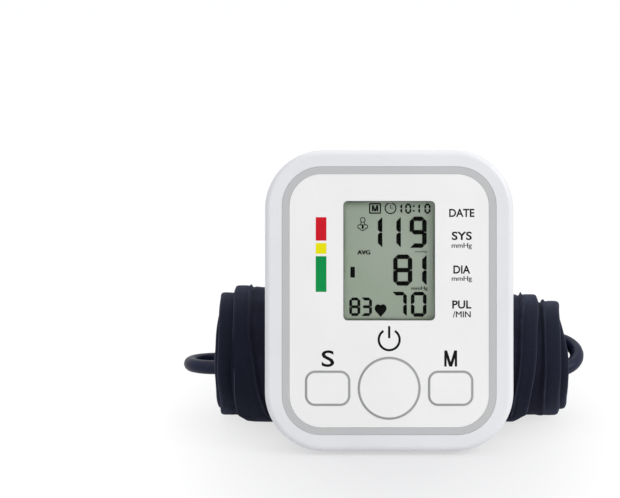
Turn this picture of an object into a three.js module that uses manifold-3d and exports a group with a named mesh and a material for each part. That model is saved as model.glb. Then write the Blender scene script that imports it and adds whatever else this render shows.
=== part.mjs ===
// An arm-type blood pressure monitor standing against its rolled cuff. Millimetres, +Z up.
// The display housing leans back a little, with its face towards -Y. The cuff lies rolled up behind it,
// and its air hose is put away inside the roll, showing as one loop at each end.
import * as THREE from "three";
import { mergeVertices } from "three/addons/utils/BufferGeometryUtils.js";
import Module from "manifold-3d";

const wasm = await Module();
wasm.setup();

// Housing
const housingWidth = 102;
const housingHeight = 123.5;
const cornerRadius = 24.2;
const bottomThickness = 30;
const topThickness = 42;
const partingDepth = 12;
const leanDegrees = 10;
const frontEdgeRound = 2.4;
const backEdgeRound = 4;
const wall = 2.2;
const frontWall = 2.6;
const clearance = 0.3;

// Face
const ringSideMargin = 7.1;
const ringEndMargin = 6.8;
const ringRadius = 16.2;
const ringBand = 3;
const inlayThickness = 1;
const windowWidth = 37.5;
const windowHeight = 48.9;
const windowRadius = 1.8;
const windowRaise = 2.15;
const windowLedge = 1.2;

// Buttons
const powerDiameter = 24.8;
const sideButtonWidth = 17.6;
const sideButtonHeight = 13.5;
const sideButtonRadius = 3.7;
const sideButtonMargin = 6.9;
const buttonCentreZ = 25.9;
const buttonGap = 0.5;
const buttonProud = 0.3;
const buttonTravel = 0.8;
const buttonFlange = 0.9;

// Board and what it carries
const boardSideMargin = 8;
const boardEndMargin = 8.75;
const boardThickness = 1.6;
const boardFront = 9;
const switchSize = 6;
const switchHeight = 3.1;

// Power: four AAA cells behind a door in the thicker half
const cellDiameter = 10.4;
const cellLength = 44.5;
const cellPitch = 10.9;
const cellCount = 4;
const contactRoom = 6.5;
const doorLap = 2.7;
const doorThickness = 2.4;
const doorDrop = 1.25;
const hingeDepth = 2;
const lugRadius = 0.9;
const lugLength = 1.6;

// Air path
const motorRadius = 7.2;
const motorLength = 23;
const sleeveThickness = 1.4;
const tubeRadius = 2.1;
const portRadius = 3.4;
const portHeight = 50;
const portDepth = 21;
const manifoldSize = 6;

// Cuff roll
const coreRadius = 15.6;
const wrapPitch = 2.8;
const tailTaper = 27;
const taperReach = 31;
const edgeThickness = 2.4;
const bodyThickness = 1.8;
const rollTurns = 3.875;
const tailAngle = 300;
const rollTaper = 0.0005;
const rollScale = 0.9872;
const rollGap = 0.3;
const bindingWidth = 7;
const bladderThickness = 0.5;

// Air hose
const hoseDiameter = 6;
const runRadius = 12.4;

const radians = THREE.MathUtils.degToRad;
const lean = radians(leanDegrees);
const wedge = Math.atan((topThickness - bottomThickness) / housingHeight);
const angleStep = 15;

// Places that follow from the sizes
const ringWidth = housingWidth - 2 * ringSideMargin;
const ringHeight = housingHeight - 2 * ringEndMargin;
const boardWidth = housingWidth - 2 * boardSideMargin;
const boardHeight = housingHeight - 2 * boardEndMargin;
const panelTop = housingHeight - ringEndMargin - ringBand;
const sideButtonOffset = ringWidth / 2 - ringBand - sideButtonMargin - sideButtonWidth / 2;
const windowCentreZ = (buttonCentreZ + powerDiameter / 2 + panelTop) / 2 + windowRaise;
const doorCentreZ = (portHeight + manifoldSize / 2 + housingHeight) / 2 - doorDrop;

// Tools for making solids

function outward(geometry) {
  const p = geometry.attributes.position;
  const index = geometry.index;
  const [a, b, c] = [0, 1, 2].map(() => new THREE.Vector3());
  let volume = 0;
  for (let i = 0; i < index.count; i += 3) {
    a.fromBufferAttribute(p, index.getX(i));
    b.fromBufferAttribute(p, index.getX(i + 1));
    c.fromBufferAttribute(p, index.getX(i + 2));
    volume += a.dot(b.cross(c));
  }
  if (volume < 0) {
    for (let i = 0; i < index.count; i += 3) {
      const kept = index.getX(i + 1);
      index.setX(i + 1, index.getX(i + 2));
      index.setX(i + 2, kept);
    }
  }
  return geometry;
}

function solid(geometry) {
  if (geometry.getMesh) return geometry;
  const bare = new THREE.BufferGeometry();
  bare.setAttribute("position", geometry.attributes.position.clone());
  if (geometry.index) bare.setIndex(geometry.index.clone());
  const merged = outward(mergeVertices(bare, 1e-4));
  const corners = [];
  for (let i = 0; i < merged.index.count; i += 3) {
    const [a, b, c] = [0, 1, 2].map((k) => merged.index.getX(i + k));
    if (a !== b && b !== c && c !== a) corners.push(a, b, c);
  }
  const vertProperties = new Float32Array(merged.attributes.position.array);
  return new wasm.Manifold(new wasm.Mesh({ numProp: 3, vertProperties, triVerts: new Uint32Array(corners) }));
}

function join(...parts) {
  return parts.map(solid).reduce((whole, part) => whole.add(part));
}

function cut(base, ...tools) {
  return tools.map(solid).reduce((whole, tool) => whole.subtract(tool), solid(base));
}

function geometryOf(shape) {
  const made = solid(shape).getMesh();
  const geometry = new THREE.BufferGeometry();
  geometry.setAttribute("position", new THREE.BufferAttribute(new Float32Array(made.vertProperties), 3));
  geometry.setIndex(new THREE.BufferAttribute(new Uint32Array(made.triVerts), 1));
  geometry.computeVertexNormals();
  return geometry;
}

function finish(color, roughness, metalness = 0, more = {}) {
  return new THREE.MeshStandardMaterial({ color, roughness, metalness, flatShading: true, ...more });
}

function addPiece(group, name, shape, material) {
  const mesh = new THREE.Mesh(geometryOf(shape), material);
  mesh.name = name;
  group.add(mesh);
  return mesh;
}

// A rounded rectangle in the plane of the face, x across and z up
function plate(width, height, radius, x = 0, z = housingHeight / 2) {
  const shape = new THREE.Shape();
  const right = x + width / 2 - radius;
  const left = x - width / 2 + radius;
  const top = z + height / 2 - radius;
  const bottom = z - height / 2 + radius;
  shape.absarc(right, bottom, radius, -Math.PI / 2, 0);
  shape.absarc(right, top, radius, 0, Math.PI / 2);
  shape.absarc(left, top, radius, Math.PI / 2, Math.PI);
  shape.absarc(left, bottom, radius, Math.PI, 1.5 * Math.PI);
  shape.closePath();
  return shape;
}

// A flat shape made solid between two depths behind the face
function slab(shape, near, far, curveSegments = 4) {
  const geometry = new THREE.ExtrudeGeometry(shape, { depth: far - near, bevelEnabled: false, curveSegments });
  return geometry.rotateX(Math.PI / 2).translate(0, far, 0);
}

function box(x, y, z, width, depth, height) {
  return new THREE.BoxGeometry(width, depth, height).translate(x, y, z);
}

// A straight round bar between two points
function bar(from, to, radius, sides = 12, endRadius = radius) {
  const along = new THREE.Vector3().subVectors(to, from);
  const geometry = new THREE.CylinderGeometry(endRadius, radius, along.length(), sides);
  geometry.translate(0, along.length() / 2, 0);
  const turn = new THREE.Quaternion().setFromUnitVectors(new THREE.Vector3(0, 1, 0), along.normalize());
  return geometry.applyQuaternion(turn).translate(from.x, from.y, from.z);
}

const at = (x, y, z) => new THREE.Vector3(x, y, z);

// A turned piece: its profile lists [distance along the axis, radius] and starts and ends on the axis,
// or goes round a bore and closes on itself
function turned(profile, start, direction, sides = 24) {
  const points = profile.map(([along, radius]) => new THREE.Vector2(radius, along));
  const geometry = new THREE.LatheGeometry(points, sides);
  const turn = new THREE.Quaternion().setFromUnitVectors(new THREE.Vector3(0, 1, 0), direction.clone().normalize());
  return geometry.applyQuaternion(turn).translate(start.x, start.y, start.z);
}

// A skin over rings of equal length, closed by a fan at each end
function skinned(rings) {
  const size = rings[0].length;
  const index = [];
  rings.slice(1).forEach((_, k) => {
    for (let i = 0; i < size; i++) {
      const next = (i + 1) % size;
      const [a, b, c, d] = [k * size + i, k * size + next, (k + 1) * size + next, (k + 1) * size + i];
      index.push(a, c, b, a, d, c);
    }
  });
  const last = (rings.length - 1) * size;
  for (let i = 1; i < size - 1; i++) {
    index.push(0, i, i + 1, last, last + i + 1, last + i);
  }
  const geometry = new THREE.BufferGeometry().setFromPoints(rings.flat());
  geometry.setIndex(index);
  return geometry;
}

// A round tube through a list of points, with the same frame carried along it
function tube(points, radius, sides = 8) {
  const tangents = points.map((p, i) => {
    const before = points[Math.max(i - 1, 0)];
    const after = points[Math.min(i + 1, points.length - 1)];
    return new THREE.Vector3().subVectors(after, before).normalize();
  });
  const side = Math.abs(tangents[0].z) < 0.9 ? at(0, 0, 1) : at(0, 1, 0);
  let normal = side.sub(tangents[0].clone().multiplyScalar(side.dot(tangents[0]))).normalize();
  const rings = points.map((p, i) => {
    if (i) normal = normal.clone().sub(tangents[i].clone().multiplyScalar(normal.dot(tangents[i]))).normalize();
    const across = new THREE.Vector3().crossVectors(tangents[i], normal);
    return Array.from({ length: sides }, (_, k) => {
      const turn = (2 * Math.PI * k) / sides;
      return p.clone().addScaledVector(normal, radius * Math.cos(turn)).addScaledVector(across, radius * Math.sin(turn));
    });
  });
  return skinned(rings);
}

// The housing's outline: points with the direction that faces out at each
const cornerSteps = 7;
const housingOutline = [
  [1, -1, -90],
  [1, 1, 0],
  [-1, 1, 90],
  [-1, -1, 180],
].flatMap(([sideX, sideZ, start]) =>
  Array.from({ length: cornerSteps + 1 }, (_, k) => {
    const turn = radians(start + (90 * k) / cornerSteps);
    const nx = Math.cos(turn);
    const nz = Math.sin(turn);
    const x = sideX * (housingWidth / 2 - cornerRadius) + cornerRadius * nx;
    const z = housingHeight / 2 + sideZ * (housingHeight / 2 - cornerRadius) + cornerRadius * nz;
    return { x, z, nx, nz };
  }),
);

// One ring of the housing's skin, where place gives the inset and the depth at a height
function housingRing(place) {
  return housingOutline.map(({ x, z, nx, nz }) => {
    let spot = { inset: 0, depth: 0 };
    for (let pass = 0; pass < 8; pass++) spot = place(z - nz * spot.inset);
    return at(x - nx * spot.inset, spot.depth, z - nz * spot.inset);
  });
}

const backDepth = (z) => bottomThickness + z * Math.tan(wedge);
const sideDraft = (depth) => Math.max(0, depth - partingDepth) * Math.tan(lean);
const roundSteps = [0, 30, 60, 90].map(radians);

// The outside of the front half, rounded at its front edge
function frontBody() {
  const rings = roundSteps.map((turn) =>
    housingRing(() => ({
      inset: frontEdgeRound * (1 - Math.sin(turn)),
      depth: frontEdgeRound * (1 - Math.cos(turn)),
    })),
  );
  rings.push(housingRing(() => ({ inset: 0, depth: partingDepth })));
  return skinned(rings);
}

// The wedge of the back half, thinned on all sides by inset, from a depth to the back
function rearBody(inset, start) {
  const round = backEdgeRound - inset;
  const rings = [housingRing(() => ({ inset: inset + sideDraft(start), depth: start }))];
  roundSteps.forEach((turn) => {
    rings.push(
      housingRing((z) => {
        const depth = backDepth(z) - inset - round * (1 - Math.sin(turn));
        return { inset: inset + sideDraft(depth) + round * (1 - Math.cos(turn)), depth };
      }),
    );
  });
  return skinned(rings);
}

// Materials
const white = finish(0xe6e7ea, 0.35);
const panelWhite = finish(0xececec, 0.45);
const ringGrey = finish(0xbfbfbf, 0.45);
const clear = finish(0xbfc8bd, 0.08, 0, { transparent: true, opacity: 0.35 });
const displayGreen = finish(0x96a291, 0.3);
const boardGreen = finish(0x1d5a34, 0.5);
const blackPlastic = finish(0x1b1b1d, 0.5);
const greyPlastic = finish(0x8d9094, 0.55);
const steel = finish(0xb9bbbd, 0.3, 0.9);
const rubber = finish(0x2a2b2d, 0.85);
const silicone = finish(0xd8d4c8, 0.6);
const brass = finish(0xb5a36a, 0.35, 0.9);
const cellWrap = finish(0x3f4a57, 0.4);
const cloth = finish(0x25262f, 0.95);
const hoseNavy = finish(0x23252f, 0.5);

// The housing stands on its flat bottom wall, leaning back
const monitor = new THREE.Group();
monitor.rotation.x = -lean;
monitor.position.z = partingDepth * Math.sin(lean);

const faceDepth = inlayThickness + clearance;
const lowerScrew = { x: housingWidth / 2 - 22, z: 12.3 };
const upperScrew = { x: housingWidth / 2 - 12.5, z: doorCentreZ - 3 };
const screwPosts = [lowerScrew, upperScrew].flatMap(({ x, z }) => [
  [-x, z],
  [x, z],
]);
const postRadius = 4;
const screwRadius = 1.3;
const screwHeadRadius = 2.9;
const postStart = boardFront + boardThickness + clearance;
const screwSeat = postStart + 4;
const boardGap = boardFront - clearance;

const buttons = [
  { name: "power", x: 0, round: true },
  { name: "set", x: -sideButtonOffset, round: false },
  { name: "memory", x: sideButtonOffset, round: false },
];

// A button's outline, grown by a margin
function buttonShape({ x, round }, margin) {
  if (round) {
    const size = powerDiameter + 2 * margin;
    return plate(size, size, size / 2, x, buttonCentreZ);
  }
  const [width, height] = [sideButtonWidth + 2 * margin, sideButtonHeight + 2 * margin];
  return plate(width, height, sideButtonRadius + margin, x, buttonCentreZ);
}

const windowShape = (margin) =>
  plate(windowWidth + 2 * margin, windowHeight + 2 * margin, windowRadius + margin, 0, windowCentreZ);

// The supply socket sits in a notch across the parting line
const supply = { z: 68.5, width: 7.6, height: 2.7, length: 6.6 };
const supplyDepth = postStart + supply.height / 2;
const supplyNotch = box(housingWidth / 2, supplyDepth, supply.z, 12, supply.height + 1, supply.width + 1);

// Front shell: rim, ledges for the ring and panel, openings, and posts for the board and screws
function frontShell() {
  const inside = slab(
    plate(housingWidth - 2 * wall, housingHeight - 2 * wall, cornerRadius - wall),
    frontWall,
    partingDepth + 1,
  );
  const recess = slab(
    plate(ringWidth + 2 * clearance, ringHeight + 2 * clearance, ringRadius + clearance),
    -1,
    faceDepth,
  );
  const openings = buttons.map((button) => slab(buttonShape(button, buttonGap), -1, frontWall + 1));
  openings.push(slab(windowShape(-windowLedge), -1, frontWall + 1));
  const posts = screwPosts.map(([x, z]) => bar(at(x, frontWall - 0.5, z), at(x, boardGap, z), postRadius));
  const pilots = screwPosts.map(([x, z]) => {
    const radius = screwRadius + clearance;
    return bar(at(x, frontWall + 0.8, z), at(x, boardGap + 1, z), radius, 12);
  });
  // Fences between the buttons stiffen the front wall and keep the flanges apart
  const fence = { width: 0.8, depth: 2.4, height: 7, root: 0.5, shift: 0.35 };
  const betweenButtons = (powerDiameter / 2 + buttonFlange + sideButtonOffset - sideButtonWidth / 2) / 2;
  const fenceX = betweenButtons + fence.shift;
  const fenceY = frontWall - fence.root + fence.depth / 2;
  const fenceZ = buttonCentreZ - powerDiameter / 2;
  const fences = [-fenceX, fenceX].map((x) => box(x, fenceY, fenceZ, fence.width, fence.depth, fence.height));
  return cut(join(cut(frontBody(), inside), ...posts, ...fences), recess, ...openings, ...pilots, supplyNotch);
}
addPiece(monitor, "front_shell", frontShell(), white);

const ringInnerWidth = ringWidth - 2 * ringBand;
const ringInnerHeight = ringHeight - 2 * ringBand;
const ringInnerRadius = ringRadius - ringBand;
const ringShape = plate(ringWidth, ringHeight, ringRadius);
ringShape.holes.push(plate(ringInnerWidth, ringInnerHeight, ringInnerRadius));
addPiece(monitor, "ring_inlay", slab(ringShape, 0.1, inlayThickness + 0.1), ringGrey);

const panelShape = plate(
  ringInnerWidth - 2 * clearance,
  ringInnerHeight - 2 * clearance,
  ringInnerRadius - clearance,
);
panelShape.holes.push(windowShape(clearance), ...buttons.map((button) => buttonShape(button, buttonGap)));
addPiece(monitor, "face_plate", slab(panelShape, 0, inlayThickness), panelWhite);
addPiece(monitor, "lcd_window", slab(windowShape(0), 0.1, inlayThickness + 0.1), clear);

// Display: the cell behind the window, its frame, and two rubber contact strips down to the board
const glassFront = frontWall + clearance;
const glassThickness = 2.2;
const glassWidth = windowWidth + 2.5;
const glassHeight = windowHeight + 2.6;
const frameRim = 2.2;
const glassShape = plate(glassWidth, glassHeight, 0.6, 0, windowCentreZ);
addPiece(monitor, "lcd_glass", slab(glassShape, glassFront, glassFront + glassThickness, 3), displayGreen);

const frameShape = plate(
  glassWidth + 2 * (clearance + frameRim),
  glassHeight + 2 * (clearance + frameRim),
  2,
  0,
  windowCentreZ,
);
frameShape.holes.push(
  plate(glassWidth + 2 * clearance, glassHeight + 2 * clearance, 0.8, 0, windowCentreZ),
);
addPiece(monitor, "lcd_frame", slab(frameShape, glassFront, boardGap, 3), greyPlastic);

const stripHeight = 2.4;
const stripFront = glassFront + glassThickness + clearance;
for (const [name, side] of [
  ["upper", 1],
  ["lower", -1],
]) {
  const z = windowCentreZ + side * (glassHeight / 2 - stripHeight / 2 - 0.6);
  const strip = box(0, (stripFront + boardGap) / 2, z, glassWidth - 2, boardGap - stripFront, stripHeight);
  addPiece(monitor, "zebra_strip_" + name, strip, silicone);
}

// Circuit board with holes at the screw posts and a tongue out to the supply socket
const boardShape = plate(boardWidth, boardHeight, 10);
for (const [x, z] of screwPosts) {
  const hole = new THREE.Path();
  hole.absarc(x, z, screwRadius + 0.7, 0, 2 * Math.PI);
  boardShape.holes.push(hole);
}
const boardBack = boardFront + boardThickness;
const tongueLength = 6;
const tongueMargin = 2;
const tongue = box(
  boardWidth / 2 - tongueMargin + tongueLength / 2,
  boardFront + boardThickness / 2,
  supply.z,
  tongueLength,
  boardThickness,
  supply.width + 2 * tongueMargin,
);
addPiece(monitor, "circuit_board", join(slab(boardShape, boardFront, boardBack, 3), tongue), boardGreen);

// Chip with a row of legs on each side
const chipSize = 12;
const chipThickness = 1.4;
const chipCentre = at(chipSize / 2, postStart, doorCentreZ - 0.75 * chipSize);
const leg = { pitch: 2.6, length: 2, thickness: 0.8, width: 0.9 };
const legReach = chipSize / 2 + leg.length / 4;
const legY = postStart + leg.thickness / 2;
const legs = [-1.5, -0.5, 0.5, 1.5].flatMap((k) =>
  [-1, 1].flatMap((side) => [
    box(chipCentre.x + side * legReach, legY, chipCentre.z + leg.pitch * k, leg.length, leg.thickness, leg.width),
    box(chipCentre.x + leg.pitch * k, legY, chipCentre.z + side * legReach, leg.width, leg.thickness, leg.length),
  ]),
);
const chipY = postStart + 0.2 + chipThickness / 2;
const chipBody = box(chipCentre.x, chipY, chipCentre.z, chipSize, chipThickness, chipSize);
addPiece(monitor, "control_chip", join(chipBody, ...legs), blackPlastic);

// Supply socket: a folded steel shell with its tongue
const supplyX = housingWidth / 2 - 1 - supply.length / 2;
const supplyShell = cut(
  box(supplyX, supplyDepth, supply.z, supply.length, supply.height, supply.width),
  box(supplyX + 0.5, supplyDepth, supply.z, supply.length, supply.height - 0.6, supply.width - 0.6),
);
const supplyTongue = box(supplyX - 0.3, supplyDepth, supply.z, supply.length - 1.4, 0.6, supply.width - 2.2);
addPiece(monitor, "usb_socket", join(supplyShell, supplyTongue), steel);

// Buttons: a cap through the panel, a flange behind the front wall, and a stem over its switch
const flangeFront = frontWall + clearance;
const flangeBack = flangeFront + 1;
const switchTop = boardGap - switchHeight - 0.4;
const stemEnd = switchTop - buttonTravel - 0.1;
for (const button of buttons) {
  const cap = slab(buttonShape(button, 0), -buttonProud, flangeBack);
  const flange = slab(buttonShape(button, buttonGap + buttonFlange), flangeFront, flangeBack);
  const stem = bar(at(button.x, flangeBack - 0.5, buttonCentreZ), at(button.x, stemEnd, buttonCentreZ), 2);
  addPiece(monitor, button.name + "_button", join(cap, flange, stem), panelWhite);
  const body = box(
    button.x,
    boardGap - switchHeight / 2,
    buttonCentreZ,
    switchSize,
    switchHeight,
    switchSize,
  );
  const plunger = bar(at(button.x, boardGap - 1, buttonCentreZ), at(button.x, switchTop, buttonCentreZ), 1.7);
  addPiece(monitor, button.name + "_switch", join(body, plunger), blackPlastic);
}

// Pump: motor in a rubber sleeve, and a head with its outlet on top. The air path starts at the left wall.
const valve = { x: -housingWidth / 2 + 24, y: 20.5, z: 25, width: 12, height: 14 };
const pump = { x: valve.x + 34, y: valve.y, z: 26 };
const sleeveRadius = motorRadius + clearance + sleeveThickness;
const motorStart = pump.x - motorLength / 2;
const alongX = at(1, 0, 0);
const motorProfile = [
  [0, 0],
  [0, motorRadius],
  [motorLength - 1, motorRadius],
  [motorLength, motorRadius - 1],
  [motorLength, 2.4],
  [motorLength + 1.6, 2.4],
  [motorLength + 1.6, 0],
];
const motorAxis = at(motorStart, pump.y, pump.z);
addPiece(monitor, "pump_motor", turned(motorProfile, motorAxis, alongX, 20), steel);
const sleeveLength = 14;
const sleeveProfile = [
  [0, motorRadius + clearance],
  [0, sleeveRadius],
  [sleeveLength, sleeveRadius],
  [sleeveLength, motorRadius + clearance],
  [0, motorRadius + clearance],
];
const sleeveStart = at(pump.x - sleeveLength / 2, pump.y, pump.z);
addPiece(monitor, "pump_sleeve", turned(sleeveProfile, sleeveStart, alongX, 20), rubber);

const headSize = 14.6;
const headLength = 13;
const headX = motorStart - clearance - headLength / 2;
const nozzleRadius = 1.5;
const manifoldZ = portHeight;
const headTop = pump.z + headSize / 2;
const nozzleLength = 3;
const flats = [-45, 45].map((turn) =>
  new THREE.BoxGeometry(headLength, headSize * 1.16, headSize * 1.16)
    .rotateX(radians(turn))
    .translate(headX, pump.y, pump.z),
);
const headBlock = solid(box(headX, pump.y, pump.z, headLength, headSize, headSize)).intersect(solid(flats[0]));
const headNozzle = bar(at(headX, pump.y, headTop - 1), at(headX, pump.y, headTop + nozzleLength), nozzleRadius, 12);
addPiece(monitor, "pump_head", join(headBlock, headNozzle), blackPlastic);

// Release valve: a square coil can with its nozzle on top
const valveTop = valve.z + valve.height / 2;
const valveCan = box(valve.x, valve.y, valve.z, valve.width, valve.width, valve.height);
const valveNeck = bar(at(valve.x, valve.y, valveTop - 1), at(valve.x, valve.y, valveTop + 1), 4);
const valveNozzle = bar(
  at(valve.x, valve.y, valveTop),
  at(valve.x, valve.y, valveTop + nozzleLength),
  nozzleRadius,
  12,
);
addPiece(monitor, "release_valve", join(valveCan, valveNeck, valveNozzle), steel);

// Air manifold with one nozzle for each tube
const manifoldLeft = valve.x - 3;
const manifoldRight = headX + 4;
const manifoldBlock = box(
  (manifoldLeft + manifoldRight) / 2,
  pump.y,
  manifoldZ,
  manifoldRight - manifoldLeft,
  manifoldSize,
  manifoldSize,
);
const manifoldNozzles = [
  [at(manifoldLeft + 1, pump.y, manifoldZ), at(manifoldLeft - nozzleLength, pump.y, manifoldZ)],
  [at(manifoldRight - 1, pump.y, manifoldZ), at(manifoldRight + nozzleLength, pump.y, manifoldZ)],
  [at(valve.x, pump.y, manifoldZ), at(valve.x, pump.y, manifoldZ - manifoldSize / 2 - nozzleLength)],
  [at(headX, pump.y, manifoldZ), at(headX, pump.y, manifoldZ - manifoldSize / 2 - nozzleLength)],
].map(([from, to]) => bar(from, to, nozzleRadius, 12));
addPiece(monitor, "air_manifold", join(manifoldBlock, ...manifoldNozzles), greyPlastic);

// Pressure sensor on the back of the board, with its nozzle towards the manifold
const sensor = { offset: 17, size: 10, height: 3.6, axis: 2.4 };
const sensorX = pump.x + sensor.offset;
const sensorAxis = postStart + sensor.axis;
const sensorBody = box(
  sensorX,
  postStart + sensor.height / 2,
  portHeight,
  sensor.size,
  sensor.height,
  sensor.size,
);
const sensorEnd = sensorX - sensor.size / 2 - nozzleLength;
const sensorNozzle = bar(
  at(sensorX - 2, sensorAxis, portHeight),
  at(sensorEnd, sensorAxis, portHeight),
  nozzleRadius,
  12,
);
addPiece(monitor, "pressure_sensor", join(sensorBody, sensorNozzle), blackPlastic);

const buzzerRadius = 6;
const buzzerHeight = 4;
const buzzerMargin = 13;
const buzzerDrop = 15;
const buzzer = at(-boardWidth / 2 + buzzerMargin, postStart, doorCentreZ - buzzerDrop);
const buzzerTop = at(buzzer.x, buzzer.y + buzzerHeight, buzzer.z);
addPiece(monitor, "buzzer", bar(buzzer, buzzerTop, buzzerRadius, 20), blackPlastic);

// Air socket in the left side wall
const socketFace = -housingWidth / 2 + sideDraft(portDepth) + 0.6;
const socketFlange = 1.6;
const socketFlangeRadius = 6.4;
const socketBodyRadius = 5;
const socketLength = 9;
const socketBarb = 3.5;
const socketProfile = [
  [0, portRadius],
  [0, socketFlangeRadius],
  [socketFlange, socketFlangeRadius],
  [socketFlange, socketBodyRadius],
  [socketLength, socketBodyRadius],
  [socketLength, nozzleRadius + 0.2],
  [socketLength + socketBarb, nozzleRadius],
  [socketLength + socketBarb, 0.8],
  [socketLength - 1.5, 0.8],
  [socketLength - 1.5, portRadius],
  [0, portRadius],
];
addPiece(
  monitor,
  "air_socket",
  turned(socketProfile, at(socketFace, portDepth, portHeight), alongX, 16),
  greyPlastic,
);

// Soft tubes between the nozzles
const socketTip = socketFace + socketLength + socketBarb;
const manifoldFoot = manifoldZ - manifoldSize / 2 - nozzleLength;
const straightTubes = {
  tube_socket: [
    at(socketTip + clearance, portDepth, portHeight),
    at(manifoldLeft - nozzleLength - clearance, pump.y, manifoldZ),
  ],
  tube_valve: [
    at(valve.x, valve.y, valveTop + nozzleLength + clearance),
    at(valve.x, pump.y, manifoldFoot - clearance),
  ],
  tube_pump: [
    at(headX, pump.y, headTop + nozzleLength + clearance),
    at(headX, pump.y, manifoldFoot - clearance),
  ],
};
for (const [name, [from, to]] of Object.entries(straightTubes)) {
  addPiece(monitor, name, bar(from, to, tubeRadius, 12), silicone);
}
const tubeBend = 7;
const sensorTube = new THREE.CubicBezierCurve3(
  at(manifoldRight + nozzleLength + clearance, pump.y, manifoldZ),
  at(manifoldRight + nozzleLength + clearance + tubeBend, pump.y, manifoldZ),
  at(sensorEnd - clearance - tubeBend, sensorAxis, portHeight),
  at(sensorEnd - clearance, sensorAxis, portHeight),
);
addPiece(monitor, "tube_sensor", tube(sensorTube.getPoints(12), tubeRadius, 10), silicone);

// Battery tub, worked out in a frame that lies in the plane of the back: x across, y out of the back, z up
const bayWidth = cellLength + contactRoom;
const bayHeight = cellCount * cellPitch + 0.6;
const doorWidth = bayWidth + 2 * doorLap;
const doorHeight = bayHeight + 2 * doorLap;
const backFrame = new THREE.Matrix4()
  .makeTranslation(0, backDepth(doorCentreZ), doorCentreZ)
  .multiply(new THREE.Matrix4().makeRotationX(-wedge));
const onBack = (geometry) => geometry.applyMatrix4(backFrame);
const doorRecess = doorThickness + 0.35;
const hingeGap = 0.6;
const bayDepth = doorRecess + cellDiameter + 0.8;
const tubWall = 1.5;
const doorTop = doorHeight / 2;
const hingeZ = doorTop - hingeDepth;
const rimMargin = lugLength + 1.3;
// The door's top edge turns inside this circle about its hinge line
const knuckleRadius = Math.hypot(hingeDepth, doorThickness - hingeDepth);
const alongHinge = (reach, radius, sides) =>
  bar(at(-doorWidth / 2 - reach, -hingeDepth, hingeZ), at(doorWidth / 2 + reach, -hingeDepth, hingeZ), radius, sides);

function batteryTub() {
  const rim = box(
    0,
    -(doorRecess + tubWall) / 2,
    hingeGap / 2,
    doorWidth + 2 * rimMargin,
    doorRecess + tubWall,
    doorHeight + 2 * rimMargin,
  );
  const tub = box(
    0,
    -(bayDepth + tubWall) / 2,
    0,
    bayWidth + 2 * tubWall,
    bayDepth + tubWall,
    bayHeight + 2 * tubWall,
  );
  const channel = alongHinge(rimMargin, knuckleRadius + clearance + tubWall, 16);
  return join(onBack(rim), onBack(tub), onBack(channel));
}

function batteryBay() {
  const recess = box(
    0,
    -doorRecess / 2 + 2,
    (hingeGap - 0.35) / 2,
    doorWidth + 0.7,
    doorRecess + 4,
    doorHeight + hingeGap + 0.35,
  );
  const bay = box(0, -bayDepth / 2 + 1, 0, bayWidth, bayDepth + 2, bayHeight);
  const lugs = alongHinge(lugLength + clearance, lugRadius + clearance, 12);
  const channel = alongHinge(0.35, knuckleRadius + clearance, 16);
  const catchSlot = box(0, -doorRecess - 1.1, -bayHeight / 2 - 0.5, 10.6, 1.9, 2.6);
  return join(onBack(recess), onBack(bay), onBack(lugs), onBack(channel), onBack(catchSlot));
}

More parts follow.
